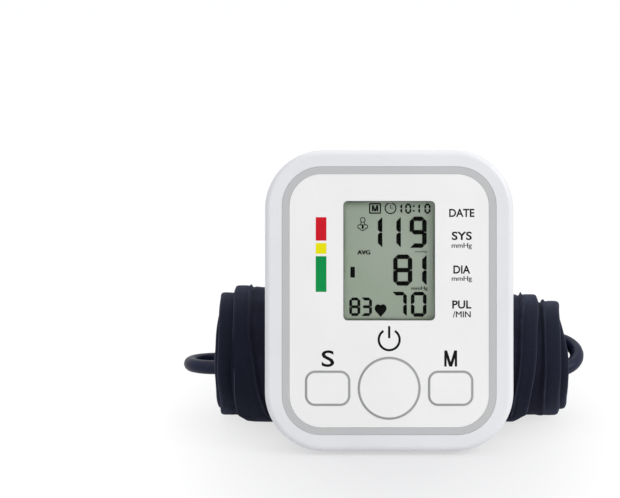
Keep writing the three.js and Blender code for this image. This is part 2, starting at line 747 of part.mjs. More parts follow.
// Rear shell: the wedge with its tub, screw posts, and saddles for the pump and the valve
function rearShell() {
  const start = partingDepth + clearance;
  const outside = solid(rearBody(0, start));
  const skin = cut(outside, rearBody(wall, start - 1));
  const rib = { spacing: 8, thickness: 2, start: 2, depth: 20, height: 18 };
  const ribY = pump.y + rib.start + rib.depth / 2;
  const ribs = [-1, 1].map((side) =>
    box(pump.x + (side * rib.spacing) / 2, ribY, pump.z, rib.thickness, rib.depth, rib.height),
  );
  const saddle = cut(
    join(...ribs),
    bar(at(pump.x - 20, pump.y, pump.z), at(pump.x + 20, pump.y, pump.z), sleeveRadius + clearance, 20),
  );
  const rest = { width: 8, depth: 12, height: 10 };
  const restY = valve.y + valve.width / 2 + clearance + rest.depth / 2;
  const valveRest = box(valve.x, restY, valve.z, rest.width, rest.depth, rest.height);
  const posts = screwPosts.map(([x, z]) => bar(at(x, postStart, z), at(x, topThickness + 5, z), postRadius, 10));
  const socketBoss = bar(
    at(socketFace - 2, portDepth, portHeight),
    at(socketFace + 5, portDepth, portHeight),
    socketFlangeRadius + 2,
    20,
  );
  // A lip inside the front shell lines the two halves up
  const lipWidth = housingWidth - 2 * (wall + clearance);
  const lipHeight = housingHeight - 2 * (wall + clearance);
  const lipRadius = cornerRadius - wall - clearance;
  const lip = { thickness: 1.2, reach: 1.2, root: 1.7, flare: 1.5 };
  const lipHole = () => plate(lipWidth - 2 * lip.thickness, lipHeight - 2 * lip.thickness, lipRadius - lip.thickness);
  const lipShape = plate(lipWidth, lipHeight, lipRadius);
  lipShape.holes.push(lipHole());
  const rootShape = plate(lipWidth + 2 * lip.flare, lipHeight + 2 * lip.flare, lipRadius + lip.flare);
  rootShape.holes.push(lipHole());
  const lipRing = join(
    slab(lipShape, partingDepth - lip.reach, start + lip.root),
    slab(rootShape, start, start + lip.root),
  );
  const inner = join(batteryTub(), saddle, valveRest, socketBoss, ...posts).intersect(solid(rearBody(0, postStart)));
  const whole = join(skin, lipRing, inner);
  const screwHoles = screwPosts.flatMap(([x, z]) => [
    bar(at(x, postStart - 1, z), at(x, topThickness + 6, z), screwRadius + clearance, 10),
    bar(at(x, screwSeat, z), at(x, topThickness + 6, z), screwHeadRadius + clearance, 16),
  ]);
  const socketSeat = bar(
    at(socketFace - 6, portDepth, portHeight),
    at(socketFace + socketFlange + clearance, portDepth, portHeight),
    socketFlangeRadius + clearance,
    20,
  );
  const socketHole = bar(
    at(socketFace - 6, portDepth, portHeight),
    at(socketFace + 12, portDepth, portHeight),
    socketBodyRadius + clearance,
    20,
  );
  return cut(whole, batteryBay(), ...screwHoles, socketSeat, socketHole, supplyNotch);
}
addPiece(monitor, "rear_shell", rearShell(), white);

// Battery door: its round top edge turns about the lugs, and a catch holds its lower edge
const doorProfile = new THREE.Shape();
doorProfile.moveTo(0, -doorHeight / 2);
doorProfile.lineTo(0, hingeZ);
doorProfile.absarc(-hingeDepth, hingeZ, hingeDepth, 0, Math.PI / 2);
doorProfile.lineTo(-doorThickness, doorTop);
doorProfile.lineTo(-doorThickness, -doorHeight / 2);
doorProfile.closePath();
function acrossX(shape, width) {
  const geometry = new THREE.ExtrudeGeometry(shape, { depth: width, bevelEnabled: false, curveSegments: 6 });
  return geometry.applyMatrix4(
    new THREE.Matrix4().makeBasis(at(0, 1, 0), at(0, 0, 1), at(1, 0, 0)).setPosition(-width / 2, 0, 0),
  );
}
const lugBar = alongHinge(lugLength, lugRadius, 12);
const thumbHollow = new THREE.SphereGeometry(16, 24, 18).scale(1, 0.5, 0.6).translate(0, 6.6, -doorHeight / 2 + 9);
const gripRibs = [0, 1, 2].map((k) => box(0, -0.85, -doorHeight / 2 + 5.5 + 3 * k, 9, 0.9, 0.8));
const catchTongue = box(0, -doorThickness - 0.7, -doorHeight / 2 + 4.1, 8, 1.6, 1.4);
const catchNose = box(0, -doorThickness - 1.1, -doorHeight / 2 + 2.9, 8, 0.8, 1.2);
const door = join(
  cut(acrossX(doorProfile, doorWidth), thumbHollow),
  solid(join(...gripRibs)),
  lugBar,
  catchTongue,
  catchNose,
);
addPiece(monitor, "battery_door", onBack(geometryOf(door)), white);

// Cells lie across the tub and face opposite ways by turns, between two sprung contact plates
const cellY = -doorRecess - 0.25 - cellDiameter / 2;
const cellRadius = cellDiameter / 2;
const nubLength = 1.1;
const cellProfile = [
  [0, 0],
  [0, cellRadius - 0.6],
  [0.4, cellRadius],
  [cellLength - nubLength - 0.4, cellRadius],
  [cellLength - nubLength, cellRadius - 0.6],
  [cellLength - nubLength, 1.9],
  [cellLength, 1.9],
  [cellLength, 0],
];
const springSide = bayWidth / 2 - 0.7;
const plateThickness = 0.5;
const springLength = 3.1;
const contacts = { left: [], right: [] };
for (let k = 0; k < cellCount; k++) {
  const z = (1.5 - k) * cellPitch;
  const forward = k % 2 ? -1 : 1;
  const centre = -forward * (springLength - 1.3) * -0.5;
  const start = at(centre - (forward * cellLength) / 2, cellY, z);
  addPiece(monitor, "battery_" + (k + 1), onBack(turned(cellProfile, start, at(forward, 0, 0), 16)), cellWrap);
  // The spring is a cone of wire from the plate to the flat end of the cell
  const springStart = -forward * (springSide - plateThickness);
  const turns = 3;
  const turnSteps = 7;
  const wire = Array.from({ length: turns * turnSteps + 1 }, (_, i) => {
    const part = i / (turns * turnSteps);
    const turn = 2 * Math.PI * turns * part;
    const radius = 3.4 - 1.4 * part;
    const x = springStart + forward * (0.1 + part * (springLength - 1));
    return at(x, cellY + radius * Math.cos(turn), z + radius * Math.sin(turn));
  });
  contacts[forward > 0 ? "left" : "right"].push(tube(wire, 0.35, 4));
}
for (const [side, sign] of [
  ["left", -1],
  ["right", 1],
]) {
  const strip = box(sign * (springSide - plateThickness / 2), cellY, 0, plateThickness, 8.4, bayHeight - 1.2);
  addPiece(monitor, "contact_plate_" + side, onBack(geometryOf(join(strip, ...contacts[side]))), brass);
}

// Case screws, from the back into the front shell's posts
screwPosts.forEach(([x, z], k) => {
  const seat = screwSeat + clearance;
  const headDepth = 2;
  const shaftStart = frontWall + 2;
  const profile = [
    [0, 0],
    [0, screwRadius - 0.5],
    [1.2, screwRadius],
    [seat - shaftStart, screwRadius],
    [seat - shaftStart, screwHeadRadius],
    [seat - shaftStart + 0.8, screwHeadRadius],
    [seat - shaftStart + headDepth, screwHeadRadius - 1.1],
    [seat - shaftStart + headDepth, 0],
  ];
  const turnedScrew = turned(profile, at(x, shaftStart, z), at(0, 1, 0), 10);
  const crossSlots = [box(x, seat + headDepth, z, 3, 1.6, 0.6), box(x, seat + headDepth, z, 0.6, 1.6, 3)];
  addPiece(monitor, "case_screw_" + (k + 1), cut(turnedScrew, ...crossSlots), steel);
});

// Rubber feet on the back
const footRadius = 4.5;
const footHeight = 1.5;
const lowerFoot = { x: housingWidth / 2 - 14.5, z: 20.5 };
const upperFoot = { x: housingWidth / 2 - 13.7, z: doorCentreZ + 12 };
const footSpots = [lowerFoot, upperFoot].flatMap(({ x, z }) => [
  [-x, z],
  [x, z],
]);
footSpots.forEach(([x, z], k) => {
  const profile = [
    [0, 0],
    [0, footRadius],
    [footHeight - 0.5, footRadius],
    [footHeight, footRadius - 0.5],
    [footHeight, 0],
  ];
  const outOfBack = at(0, Math.cos(wedge), -Math.sin(wedge));
  const start = at(x, backDepth(z), z).addScaledVector(outOfBack, clearance);
  addPiece(monitor, "foot_" + (k + 1), turned(profile, start, outOfBack, 20), rubber);
});

// Cuff: a band rolled into a spiral, thicker at its bound edges, wound from its wide inner end
// to its narrow tail. Radii shrink a little from left to right, as the hand that rolled it left them.
const cuff = new THREE.Group();
const rollStart = tailAngle - 360 * rollTurns;
const lastTurn = tailAngle - 360;
const innerLeft = -74.5;
const innerRight = 76.7;
const tailLeft = -66.9;
const tailRight = 64.2;
const middleLeft = -73;
const middleRight = 73.5;

const wrapRadius = (angle) => coreRadius + (wrapPitch * (angle - rollStart)) / 360;
const bottomRadius = wrapRadius(270) + edgeThickness;

// The housing leans towards the roll, which clears its flat back by rollGap at the roll's thicker end
const backFoot = at(0, bottomThickness, 0).applyAxisAngle(alongX, -lean).add(monitor.position);
const backLean = lean + wedge;
const touchX = -(housingWidth / 2 - sideDraft(bottomThickness) - backEdgeRound);
const touchScale = rollScale - rollTaper * touchX;
const touchAngle = 180 - THREE.MathUtils.radToDeg(backLean);
const rollCentreY =
  backFoot.y +
  ((wrapRadius(touchAngle) + edgeThickness) * touchScale +
    rollGap +
    (bottomRadius * touchScale - backFoot.z) * Math.sin(backLean)) /
    Math.cos(backLean);

function rollPoint(x, angle, radius) {
  const scale = rollScale - rollTaper * x;
  const turn = radians(angle);
  return at(
    x,
    rollCentreY + scale * radius * Math.cos(turn),
    scale * (bottomRadius + radius * Math.sin(turn)),
  );
}

// Where a wrap's edge lies: the inner wraps are wide, the last one narrow, with a slope between
function edgeOf(angle, inner, middle, tail) {
  const toMiddle = THREE.MathUtils.smoothstep(angle, lastTurn - 420, lastTurn - 300);
  const toTail = THREE.MathUtils.smoothstep(angle, lastTurn - 45, lastTurn);
  const wide = inner + (middle - inner) * toMiddle;
  return wide + (tail - wide) * toTail;
}
// The tail narrows evenly on both sides over its last stretch
function taperAt(angle) {
  const fromEnd = radians(tailAngle - angle) * wrapRadius(tailAngle);
  return tailTaper * Math.max(0, 1 - fromEnd / taperReach);
}
const leftEdge = (angle) => edgeOf(angle, innerLeft, middleLeft, tailLeft) + taperAt(angle);
const rightEdge = (angle) => edgeOf(angle, innerRight, middleRight, tailRight) - taperAt(angle);

// A sheet wound with the cuff: section gives [x, height above the wrap's inner face] round its outline
function wound(from, to, section) {
  const rings = [];
  for (let angle = from; angle <= to + 0.01; angle += angleStep) {
    rings.push(section(angle).map(([x, height]) => rollPoint(x, angle, wrapRadius(angle) + height)));
  }
  const size = rings[0].length;
  const index = [];
  for (let k = 0; k < rings.length - 1; k++) {
    for (let i = 0; i < size; i++) {
      const next = (i + 1) % size;
      const [a, b, c, d] = [k * size + i, k * size + next, (k + 1) * size + next, (k + 1) * size + i];
      index.push(a, c, b, a, d, c);
    }
  }
  const flat = section(from).map(([x, height]) => new THREE.Vector2(x, height));
  const last = (rings.length - 1) * size;
  for (const [a, b, c] of THREE.ShapeUtils.triangulateShape(flat, [])) {
    index.push(a, b, c, last + a, last + c, last + b);
  }
  const geometry = new THREE.BufferGeometry().setFromPoints(rings.flat());
  geometry.setIndex(index);
  return geometry;
}

const bodyInset = (edgeThickness - bodyThickness) / 2;
function bandSection(angle) {
  const [left, right] = [leftEdge(angle), rightEdge(angle)];
  const half = [
    [left, 0],
    [left + bindingWidth, 0],
    [left + bindingWidth + 0.6, bodyInset],
    [right - bindingWidth - 0.6, bodyInset],
    [right - bindingWidth, 0],
    [right, 0],
  ];
  return [...half, ...half.map(([x, height]) => [x, edgeThickness - height]).reverse()];
}
const flatSection = (fromX, toX, low, high) => () => [
  [fromX, low],
  [toX, low],
  [toX, high],
  [fromX, high],
];

const skinThickness = 0.4;
const pocketLow = bodyInset + skinThickness;
const pocketHigh = edgeThickness - pocketLow;
const bladderLow = (edgeThickness - bladderThickness) / 2;
const bladderFrom = rollStart + 2 * angleStep;
const bladderTo = rollStart + 44 * angleStep;
const pocketLeft = middleLeft + bindingWidth + 2;
const pocketRight = middleRight - bindingWidth - 2;
const pocket = wound(
  bladderFrom - angleStep,
  bladderTo + angleStep,
  flatSection(pocketLeft, pocketRight, pocketLow, pocketHigh),
);

// Hook fastener let into the inner face of the tail
const hookWidth = 62;
const hookThickness = 0.8;
const hookFrom = tailAngle - 5 * angleStep;
const hookTo = tailAngle - angleStep;
const hookRecess = wound(
  hookFrom - angleStep,
  tailAngle + angleStep,
  flatSection(-hookWidth / 2 - clearance, hookWidth / 2 + clearance, -0.5, hookThickness + clearance),
);
const hookPatch = wound(hookFrom, hookTo, flatSection(-hookWidth / 2, hookWidth / 2, 0.05, hookThickness));

// The hose leaves a gland at the roll's left end. Angles name the four lines that it follows in the core.
const glandAngle = 328;
const firstRun = 203.4;
const secondRun = 23.4;
const thirdRun = 143.4;
const thirdRadius = 10.8;
const glandX = { from: -50, stem: -57, to: -66 };
const glandWrap = wrapRadius(glandAngle - 360 * 3);
const stemRadius = 1.9;
const stemFlangeRadius = 3.2;
const stemFlangeThickness = 1.2;
const onStem = (radius) => rollPoint(glandX.stem, glandAngle, radius);
const stemHole = bar(
  onStem(glandWrap - 1.2),
  onStem(glandWrap + (pocketLow + pocketHigh) / 2),
  stemRadius + clearance + 0.1,
  12,
);
addPiece(cuff, "cuff_band", cut(wound(rollStart, tailAngle, bandSection), pocket, hookRecess, stemHole), cloth);
addPiece(
  cuff,
  "air_bladder",
  wound(bladderFrom, bladderTo, flatSection(pocketLeft + 1, pocketRight - 1, bladderLow, edgeThickness - bladderLow)),
  rubber,
);
addPiece(cuff, "hook_patch", hookPatch, cloth);

const glandStart = rollPoint(glandX.from, glandAngle, runRadius);
const glandEnd = rollPoint(glandX.to, glandAngle, runRadius);
const hose = hoseDiameter / 2;
const flangeTop = glandWrap - 3 * clearance;
const gland = join(
  bar(glandStart, glandEnd, hose + 1.2, 20, hose + 0.3),
  bar(onStem(runRadius), onStem(glandWrap + bladderLow - clearance), stemRadius, 12),
  bar(onStem(flangeTop - stemFlangeThickness), onStem(flangeTop), stemFlangeRadius, 12),
);
addPiece(cuff, "hose_gland", gland, hoseNavy);

// The hose's line: straight runs in the core, joined by half turns
function halfTurn(x, direction, fromAngle, fromRadius, toAngle, toRadius, steps = 12) {
  const from = rollPoint(x, fromAngle, fromRadius);
  const to = rollPoint(x, toAngle, toRadius);
  const middle = from.clone().add(to).multiplyScalar(0.5);
  const reach = from.distanceTo(to) / 2;
  return Array.from({ length: steps + 1 }, (_, k) => {
    const turn = (Math.PI * k) / steps;
    const point = middle.clone().addScaledVector(new THREE.Vector3().subVectors(from, middle), Math.cos(turn));
    point.x += direction * reach * Math.sin(turn);
    return point;
  });
}
function run(fromX, toX, angle, radius, steps) {
  return Array.from({ length: steps - 1 }, (_, k) =>
    rollPoint(fromX + ((toX - fromX) * (k + 1)) / steps, angle, radius),
  );
}
const leftTurnX = -74.6;
const rightTurnX = 69.4;
const innerTurnX = -57;
const hoseEndX = 32;
const hosePoints = [
  rollPoint(glandX.to - clearance, glandAngle, runRadius),
  ...halfTurn(leftTurnX, -1, glandAngle, runRadius, firstRun, runRadius),
  ...run(leftTurnX, rightTurnX, firstRun, runRadius, 10),
  ...halfTurn(rightTurnX, 1, firstRun, runRadius, secondRun, runRadius),
  ...run(rightTurnX, innerTurnX, secondRun, runRadius, 9),
  ...halfTurn(innerTurnX, -1, secondRun, runRadius, thirdRun, thirdRadius),
  ...run(innerTurnX, hoseEndX - hoseDiameter, thirdRun, thirdRadius, 6),
  rollPoint(hoseEndX - hoseDiameter, thirdRun, thirdRadius),
  rollPoint(hoseEndX, thirdRun, thirdRadius),
];
addPiece(cuff, "air_hose", tube(hosePoints, hose, 8), hoseNavy);

// Plug with grip rings, a shoulder and a nose with its sealing ring, bored through
const plugStart = rollPoint(hoseEndX + clearance, thirdRun, thirdRadius);
const plugDirection = new THREE.Vector3().subVectors(rollPoint(hoseEndX + 10, thirdRun, thirdRadius), plugStart);
const plugRings = [0, 1, 2].flatMap((k) => [
  [2 + 3.2 * k, 3.5],
  [2.6 + 3.2 * k, 4],
  [4.2 + 3.2 * k, 4],
  [4.8 + 3.2 * k, 3.5],
]);
const plugProfile = [
  [0, 1.2],
  [0, 3.4],
  ...plugRings,
  [12.4, 4.1],
  [14, 4.1],
  [14, 2.5],
  [17.4, 2.5],
  [17.8, 3],
  [19, 3],
  [19.4, 2.5],
  [22, 2.3],
  [23, 1.9],
  [23, 1.2],
  [0, 1.2],
];
addPiece(cuff, "hose_plug", turned(plugProfile, plugStart, plugDirection, 12), hoseNavy);

// Length of the hose and its least gap to itself, measured between points more than two diameters apart along it
function hoseReport() {
  let length = 0;
  const along = hosePoints.map((p, i) => (length += i ? p.distanceTo(hosePoints[i - 1]) : 0));
  let gap = Infinity;
  const fine = new THREE.CatmullRomCurve3(hosePoints, false, "centripetal").getSpacedPoints(400);
  const step = length / 400;
  fine.forEach((p, i) => {
    for (let j = i + 1; j < fine.length; j++) {
      if ((j - i) * step > 3 * hoseDiameter) gap = Math.min(gap, p.distanceTo(fine[j]) - hoseDiameter);
    }
  });
  console.log("hose length " + along.at(-1).toFixed(1) + " mm, least gap to itself " + gap.toFixed(2) + " mm");
}
hoseReport();

// The whole object, with its origin under the middle of what isn't hose
const monitorAndCuff = new THREE.Group();
monitorAndCuff.add(monitor, cuff);
monitorAndCuff.updateMatrixWorld(true);
const extent = new THREE.Box3();
monitorAndCuff.traverse((o) => {
  if (o.isMesh && o.name !== "air_hose" && o.name !== "hose_plug") extent.expandByObject(o, true);
});
const middleOf = extent.getCenter(new THREE.Vector3());
monitorAndCuff.position.set(-middleOf.x, -middleOf.y, -extent.min.z);
console.log("moved by " + monitorAndCuff.position.toArray().map((v) => v.toFixed(4)).join(" "));

export default monitorAndCuff;
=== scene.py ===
import math
import bpy
import bmesh
from mathutils import Matrix, Vector, noise


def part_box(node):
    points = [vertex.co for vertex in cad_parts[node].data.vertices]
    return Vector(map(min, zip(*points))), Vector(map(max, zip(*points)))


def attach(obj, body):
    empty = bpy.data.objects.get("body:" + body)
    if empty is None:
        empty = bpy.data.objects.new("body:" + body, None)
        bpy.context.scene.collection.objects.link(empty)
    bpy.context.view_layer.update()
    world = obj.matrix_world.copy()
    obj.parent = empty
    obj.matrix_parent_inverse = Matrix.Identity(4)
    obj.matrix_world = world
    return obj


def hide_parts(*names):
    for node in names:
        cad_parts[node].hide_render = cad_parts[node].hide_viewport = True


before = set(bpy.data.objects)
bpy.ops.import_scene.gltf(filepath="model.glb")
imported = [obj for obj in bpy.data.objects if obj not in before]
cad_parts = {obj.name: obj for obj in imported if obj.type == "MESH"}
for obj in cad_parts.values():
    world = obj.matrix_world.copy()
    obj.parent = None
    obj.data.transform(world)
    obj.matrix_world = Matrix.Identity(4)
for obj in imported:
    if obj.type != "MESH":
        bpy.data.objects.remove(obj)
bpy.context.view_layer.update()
print("frame loaded:", len(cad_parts), "nodes")

# The display housing leans back. Its pieces are made in millimetres in its own frame, with x across,
# y from the face to the back and z up from its lower edge, and are then put in their place. The settings of
# each piece are in millimetres and degrees, and those of the camera and the studio in metres.
lean = math.radians(10)
mm = 0.001
housing = {"width": 102.0, "height": 123.5, "corner": 24.2, "parting": 12.0, "bottomDepth": 30.0,
           "topDepth": 42.0, "wall": 2.2, "frontWall": 2.6, "frontRound": 2.4, "partingRound": 0.25,
           "backRound": 4.0}
clearance = 0.3  # round pieces that move or are put in
fineLine = 0.06  # round inlaid pieces
display = {"width": 37.5, "height": 48.9, "radius": 1.8, "centreZ": 78.15, "centreDepth": 0.6, "ledge": 0.7}

turned = Matrix.Rotation(-lean, 4, "X")
windowLow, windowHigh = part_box("lcd_window")
windowMiddle = Vector((0, display["centreDepth"], display["centreZ"])) * mm
housingPlace = Matrix.Translation((windowLow + windowHigh) / 2 - turned @ windowMiddle) @ turned
inHousing = housingPlace @ Matrix.Scale(mm, 4)


def addObject(name, data):
    piece = bpy.data.objects.new(name, data)
    bpy.context.scene.collection.objects.link(piece)
    return piece


# Camera, square to the face, with the photograph's framing kept in its shift
camera = {"distance": 1.1, "raise": 0.034, "fieldWidth": 0.254, "shiftX": -0.1277, "shiftY": 0.0835,
          "sensor": 36.0, "farthest": 20.0}


def makeCamera():
    faceMiddle = housingPlace @ Vector((0, 0, housing["height"] / 2 * mm))
    outward = turned @ Vector((0, -1, 0))
    lens = bpy.data.cameras.new("camera")
    lens.sensor_width = camera["sensor"]
    lens.lens = camera["sensor"] * camera["distance"] / camera["fieldWidth"]
    lens.shift_x = camera["shiftX"]
    lens.shift_y = camera["shiftY"] - camera["raise"] / camera["fieldWidth"]
    lens.clip_end = camera["farthest"]
    stand = addObject("camera", lens)
    upward = turned @ Vector((0, 0, 1))
    stand.location = faceMiddle + outward * camera["distance"] + upward * camera["raise"]
    stand.rotation_euler = outward.to_track_quat("Z", "Y").to_euler()
    bpy.context.scene.camera = stand


makeCamera()
print("camera placed")


# Modelling helpers

def deselect():
    if bpy.context.mode != "OBJECT":
        bpy.ops.object.mode_set(mode="OBJECT")
    bpy.ops.object.select_all(action="DESELECT")


def makeActive(piece):
    deselect()
    piece.select_set(True)
    bpy.context.view_layer.objects.active = piece


def block(name, low, high):
    deselect()
    low, high = Vector(low), Vector(high)
    bpy.ops.mesh.primitive_cube_add(size=1, location=(low + high) / 2)
    piece = bpy.context.active_object
    piece.name = name
    piece.scale = high - low
    bpy.ops.object.transform_apply(location=True, rotation=True, scale=True)
    return piece


def rod(name, start, end, radius, sides=48):
    deselect()
    start, end = Vector(start), Vector(end)
    along = end - start
    bpy.ops.mesh.primitive_cylinder_add(vertices=sides, radius=radius, depth=along.length,
                                        location=(start + end) / 2,
                                        rotation=along.to_track_quat("Z", "Y").to_euler())
    piece = bpy.context.active_object
    piece.name = name
    bpy.ops.object.transform_apply(location=True, rotation=True, scale=True)
    return piece


# Goes into edit mode with the wanted vertices, edges or faces selected
def selectInside(piece, kind, wanted):
    makeActive(piece)
    bpy.ops.object.mode_set(mode="EDIT")
    bpy.ops.mesh.select_mode(type=kind)
    bpy.ops.mesh.select_all(action="DESELECT")
    mesh = bmesh.from_edit_mesh(piece.data)
    for item in {"VERT": mesh.verts, "EDGE": mesh.edges, "FACE": mesh.faces}[kind]:
        if wanted(item):
            item.select_set(True)
    bmesh.update_edit_mesh(piece.data)


def turnOutward(piece):
    bpy.ops.mesh.select_all(action="SELECT")
    bpy.ops.mesh.normals_make_consistent(inside=False)
    bpy.ops.object.mode_set(mode="OBJECT")
    return piece


def bevelEdges(piece, wanted, offset, segments):
    selectInside(piece, "EDGE", wanted)
    bpy.ops.mesh.bevel(offset=offset, segments=segments, affect="EDGES", clamp_overlap=True)
    bpy.ops.object.mode_set(mode="OBJECT")
    return piece


def alongDepth(edge):
    a, b = (v.co for v in edge.verts)
    return abs(a.x - b.x) < 1e-4 and abs(a.z - b.z) < 1e-4


def atDepth(depth):
    return lambda item: all(abs(v.co.y - depth) < 1e-3 for v in item.verts)


def roundedPlate(name, width, height, radius, near, far, x=0.0, z=housing["height"] / 2, segments=18):
    piece = block(name, (x - width / 2, near, z - height / 2), (x + width / 2, far, z + height / 2))
    return bevelEdges(piece, alongDepth, radius, segments)


# A turned piece drawn out of a disc: its profile lists [distance along the axis, radius]
def turnedBar(name, start, end, profile, sides=48):
    deselect()
    place, radius = profile[0]
    bpy.ops.mesh.primitive_circle_add(vertices=sides, radius=radius, fill_type="NGON", location=(0, 0, 0))
    piece = bpy.context.active_object
    piece.name = name
    bpy.ops.object.mode_set(mode="EDIT")
    bpy.ops.mesh.select_all(action="SELECT")
    bpy.ops.transform.translate(value=(0, 0, place))
    for nextPlace, nextRadius in profile[1:]:
        bpy.ops.mesh.extrude_region_move(TRANSFORM_OT_translate={"value": (0, 0, nextPlace - place)})
        grow = nextRadius / radius
        bpy.ops.transform.resize(value=(grow, grow, 1), center_override=(0, 0, nextPlace))
        place, radius = nextPlace, nextRadius
    turnOutward(piece)
    along = Vector(end) - Vector(start)
    piece.data.transform(Matrix.Translation(start) @ along.to_track_quat("Z", "Y").to_matrix().to_4x4())
    return piece


def combine(piece, other, operation):
    makeActive(piece)
    change = piece.modifiers.new("combine", "BOOLEAN")
    change.operation = operation
    change.solver = "EXACT"
    change.object = other
    bpy.ops.object.modifier_apply(modifier=change.name)
    bpy.data.objects.remove(other)
    return piece


def cutAway(piece, *cutters):
    for cutter in cutters:
        combine(piece, cutter, "DIFFERENCE")
    return piece


def weld(piece, *others):
    for other in others:
        combine(piece, other, "UNION")
    return piece


def softenEdges(piece, width):
    makeActive(piece)
    bevel = piece.modifiers.new("soften", "BEVEL")
    bevel.width = width
    bevel.segments = 2
    bevel.limit_method = "ANGLE"
    bevel.angle_limit = math.radians(40)
    bevel.use_clamp_overlap = True
    bpy.ops.object.modifier_apply(modifier=bevel.name)
    return piece


def joinPieces(name, pieces):
    deselect()
    for piece in pieces:
        piece.select_set(True)
    bpy.context.view_layer.objects.active = pieces[0]
    if len(pieces) > 1:
        bpy.ops.object.join()
    pieces[0].name = name
    return pieces[0]


# Puts a finished piece in its place, with its finish and body, and hides the parts it replaces. Cloth is
# shaded softly all over.
def settle(piece, material, body, replaced=(), place=inHousing, cloth=False):
    makeActive(piece)
    piece.data.transform(place)
    piece.data.materials.clear()
    piece.data.materials.append(material)
    bpy.ops.object.shade_smooth_by_angle(angle=math.radians(60 if cloth else 35))
    if not cloth:
        even = piece.modifiers.new("even", "WEIGHTED_NORMAL")
        even.keep_sharp = True
        bpy.ops.object.modifier_apply(modifier=even.name)
    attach(piece, body)
    if replaced:
        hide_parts(*replaced)
    return piece


# Finishes

# A colour as it is seen on a screen, turned into Blender's linear values
def linear(colour):
    return tuple((c / 12.92 if c <= 0.04045 else ((c + 0.055) / 1.055) ** 2.4)
                 for c in (v / 255 for v in colour))


def newFinish(name, colour, roughness, metallic=0.0, specular=0.5):
    material = bpy.data.materials.new(name)
    material.use_nodes = True
    shader = material.node_tree.nodes["Principled BSDF"]
    shader.inputs["Base Color"].default_value = (*linear(colour), 1)
    shader.inputs["Roughness"].default_value = roughness
    shader.inputs["Metallic"].default_value = metallic
    shader.inputs["Specular IOR Level"].default_value = specular
    return material


def nodesOf(material):
    tree = material.node_tree
    return tree, tree.nodes["Principled BSDF"]


def coordinate(tree, stretch=(1, 1, 1), source="Object"):
    place = tree.nodes.new("ShaderNodeTexCoord")
    mapping = tree.nodes.new("ShaderNodeMapping")
    mapping.inputs["Scale"].default_value = stretch
    tree.links.new(place.outputs[source], mapping.inputs["Vector"])
    return mapping.outputs["Vector"]


def noiseAt(tree, vector, scale, detail=3.0, roughness=0.55):
    made = tree.nodes.new("ShaderNodeTexNoise")
    made.inputs["Scale"].default_value = scale
    made.inputs["Detail"].default_value = detail
    made.inputs["Roughness"].default_value = roughness
    tree.links.new(vector, made.inputs["Vector"])
    return made.outputs["Fac"]


def ramp(tree, value, low, high, first, second):
    made = tree.nodes.new("ShaderNodeValToRGB")
    made.color_ramp.elements[0].position = low
    made.color_ramp.elements[1].position = high
    made.color_ramp.elements[0].color = (*linear(first), 1)
    made.color_ramp.elements[1].color = (*linear(second), 1)
    tree.links.new(value, made.inputs["Fac"])
    return made.outputs["Color"]


def rangeOf(tree, value, low, high, fromLow=0.25, fromHigh=0.75):
    made = tree.nodes.new("ShaderNodeMapRange")
    made.inputs["From Min"].default_value = fromLow
    made.inputs["From Max"].default_value = fromHigh
    made.inputs["To Min"].default_value = low
    made.inputs["To Max"].default_value = high
    tree.links.new(value, made.inputs["Value"])
    return made.outputs["Result"]


def bump(tree, height, strength, distance):
    made = tree.nodes.new("ShaderNodeBump")
    made.inputs["Strength"].default_value = strength
    made.inputs["Distance"].default_value = distance
    tree.links.new(height, made.inputs["Height"])
    return made.outputs["Normal"]


def mixOf(tree, kind, share, first, second, blend="MIX"):
    made = tree.nodes.new("ShaderNodeMix")
    made.data_type = kind
    made.blend_type = blend
    made.inputs["Factor"].default_value = 1
    for name, value in (("Factor", share), ("A", first), ("B", second)):
        if value is not None:
            tree.links.new(value, made.inputs[name])
    return made.outputs["Result"]


# Feeds the shader's colour, roughness and normal
def feed(material, colour=None, roughness=None, normal=None):
    tree, shader = nodesOf(material)
    for name, value in (("Base Color", colour), ("Roughness", roughness), ("Normal", normal)):
        if value is not None:
            tree.links.new(value, shader.inputs[name])
    return material


def mouldedPlastic(name, colour, roughness, shade=3, grain=0.12, grainScale=2600):
    material = newFinish(name, colour, roughness)
    tree = material.node_tree
    here = coordinate(tree)
    dark = tuple(max(0, c - shade) for c in colour)
    light = tuple(min(255, c + shade * 0.5) for c in colour)
    return feed(material,
                colour=ramp(tree, noiseAt(tree, here, 28), 0.35, 0.65, dark, light),
                roughness=rangeOf(tree, noiseAt(tree, here, 90), roughness * 0.88, roughness * 1.12),
                normal=bump(tree, noiseAt(tree, here, grainScale, 2), grain, 0.00004))


# Printing ink: matt, with hardly any gloss of its own
def printedInk(name, colour, specular=0.05):
    material = mouldedPlastic(name, colour, 0.65, shade=4, grain=0.1)
    nodesOf(material)[1].inputs["Specular IOR Level"].default_value = specular
    return material


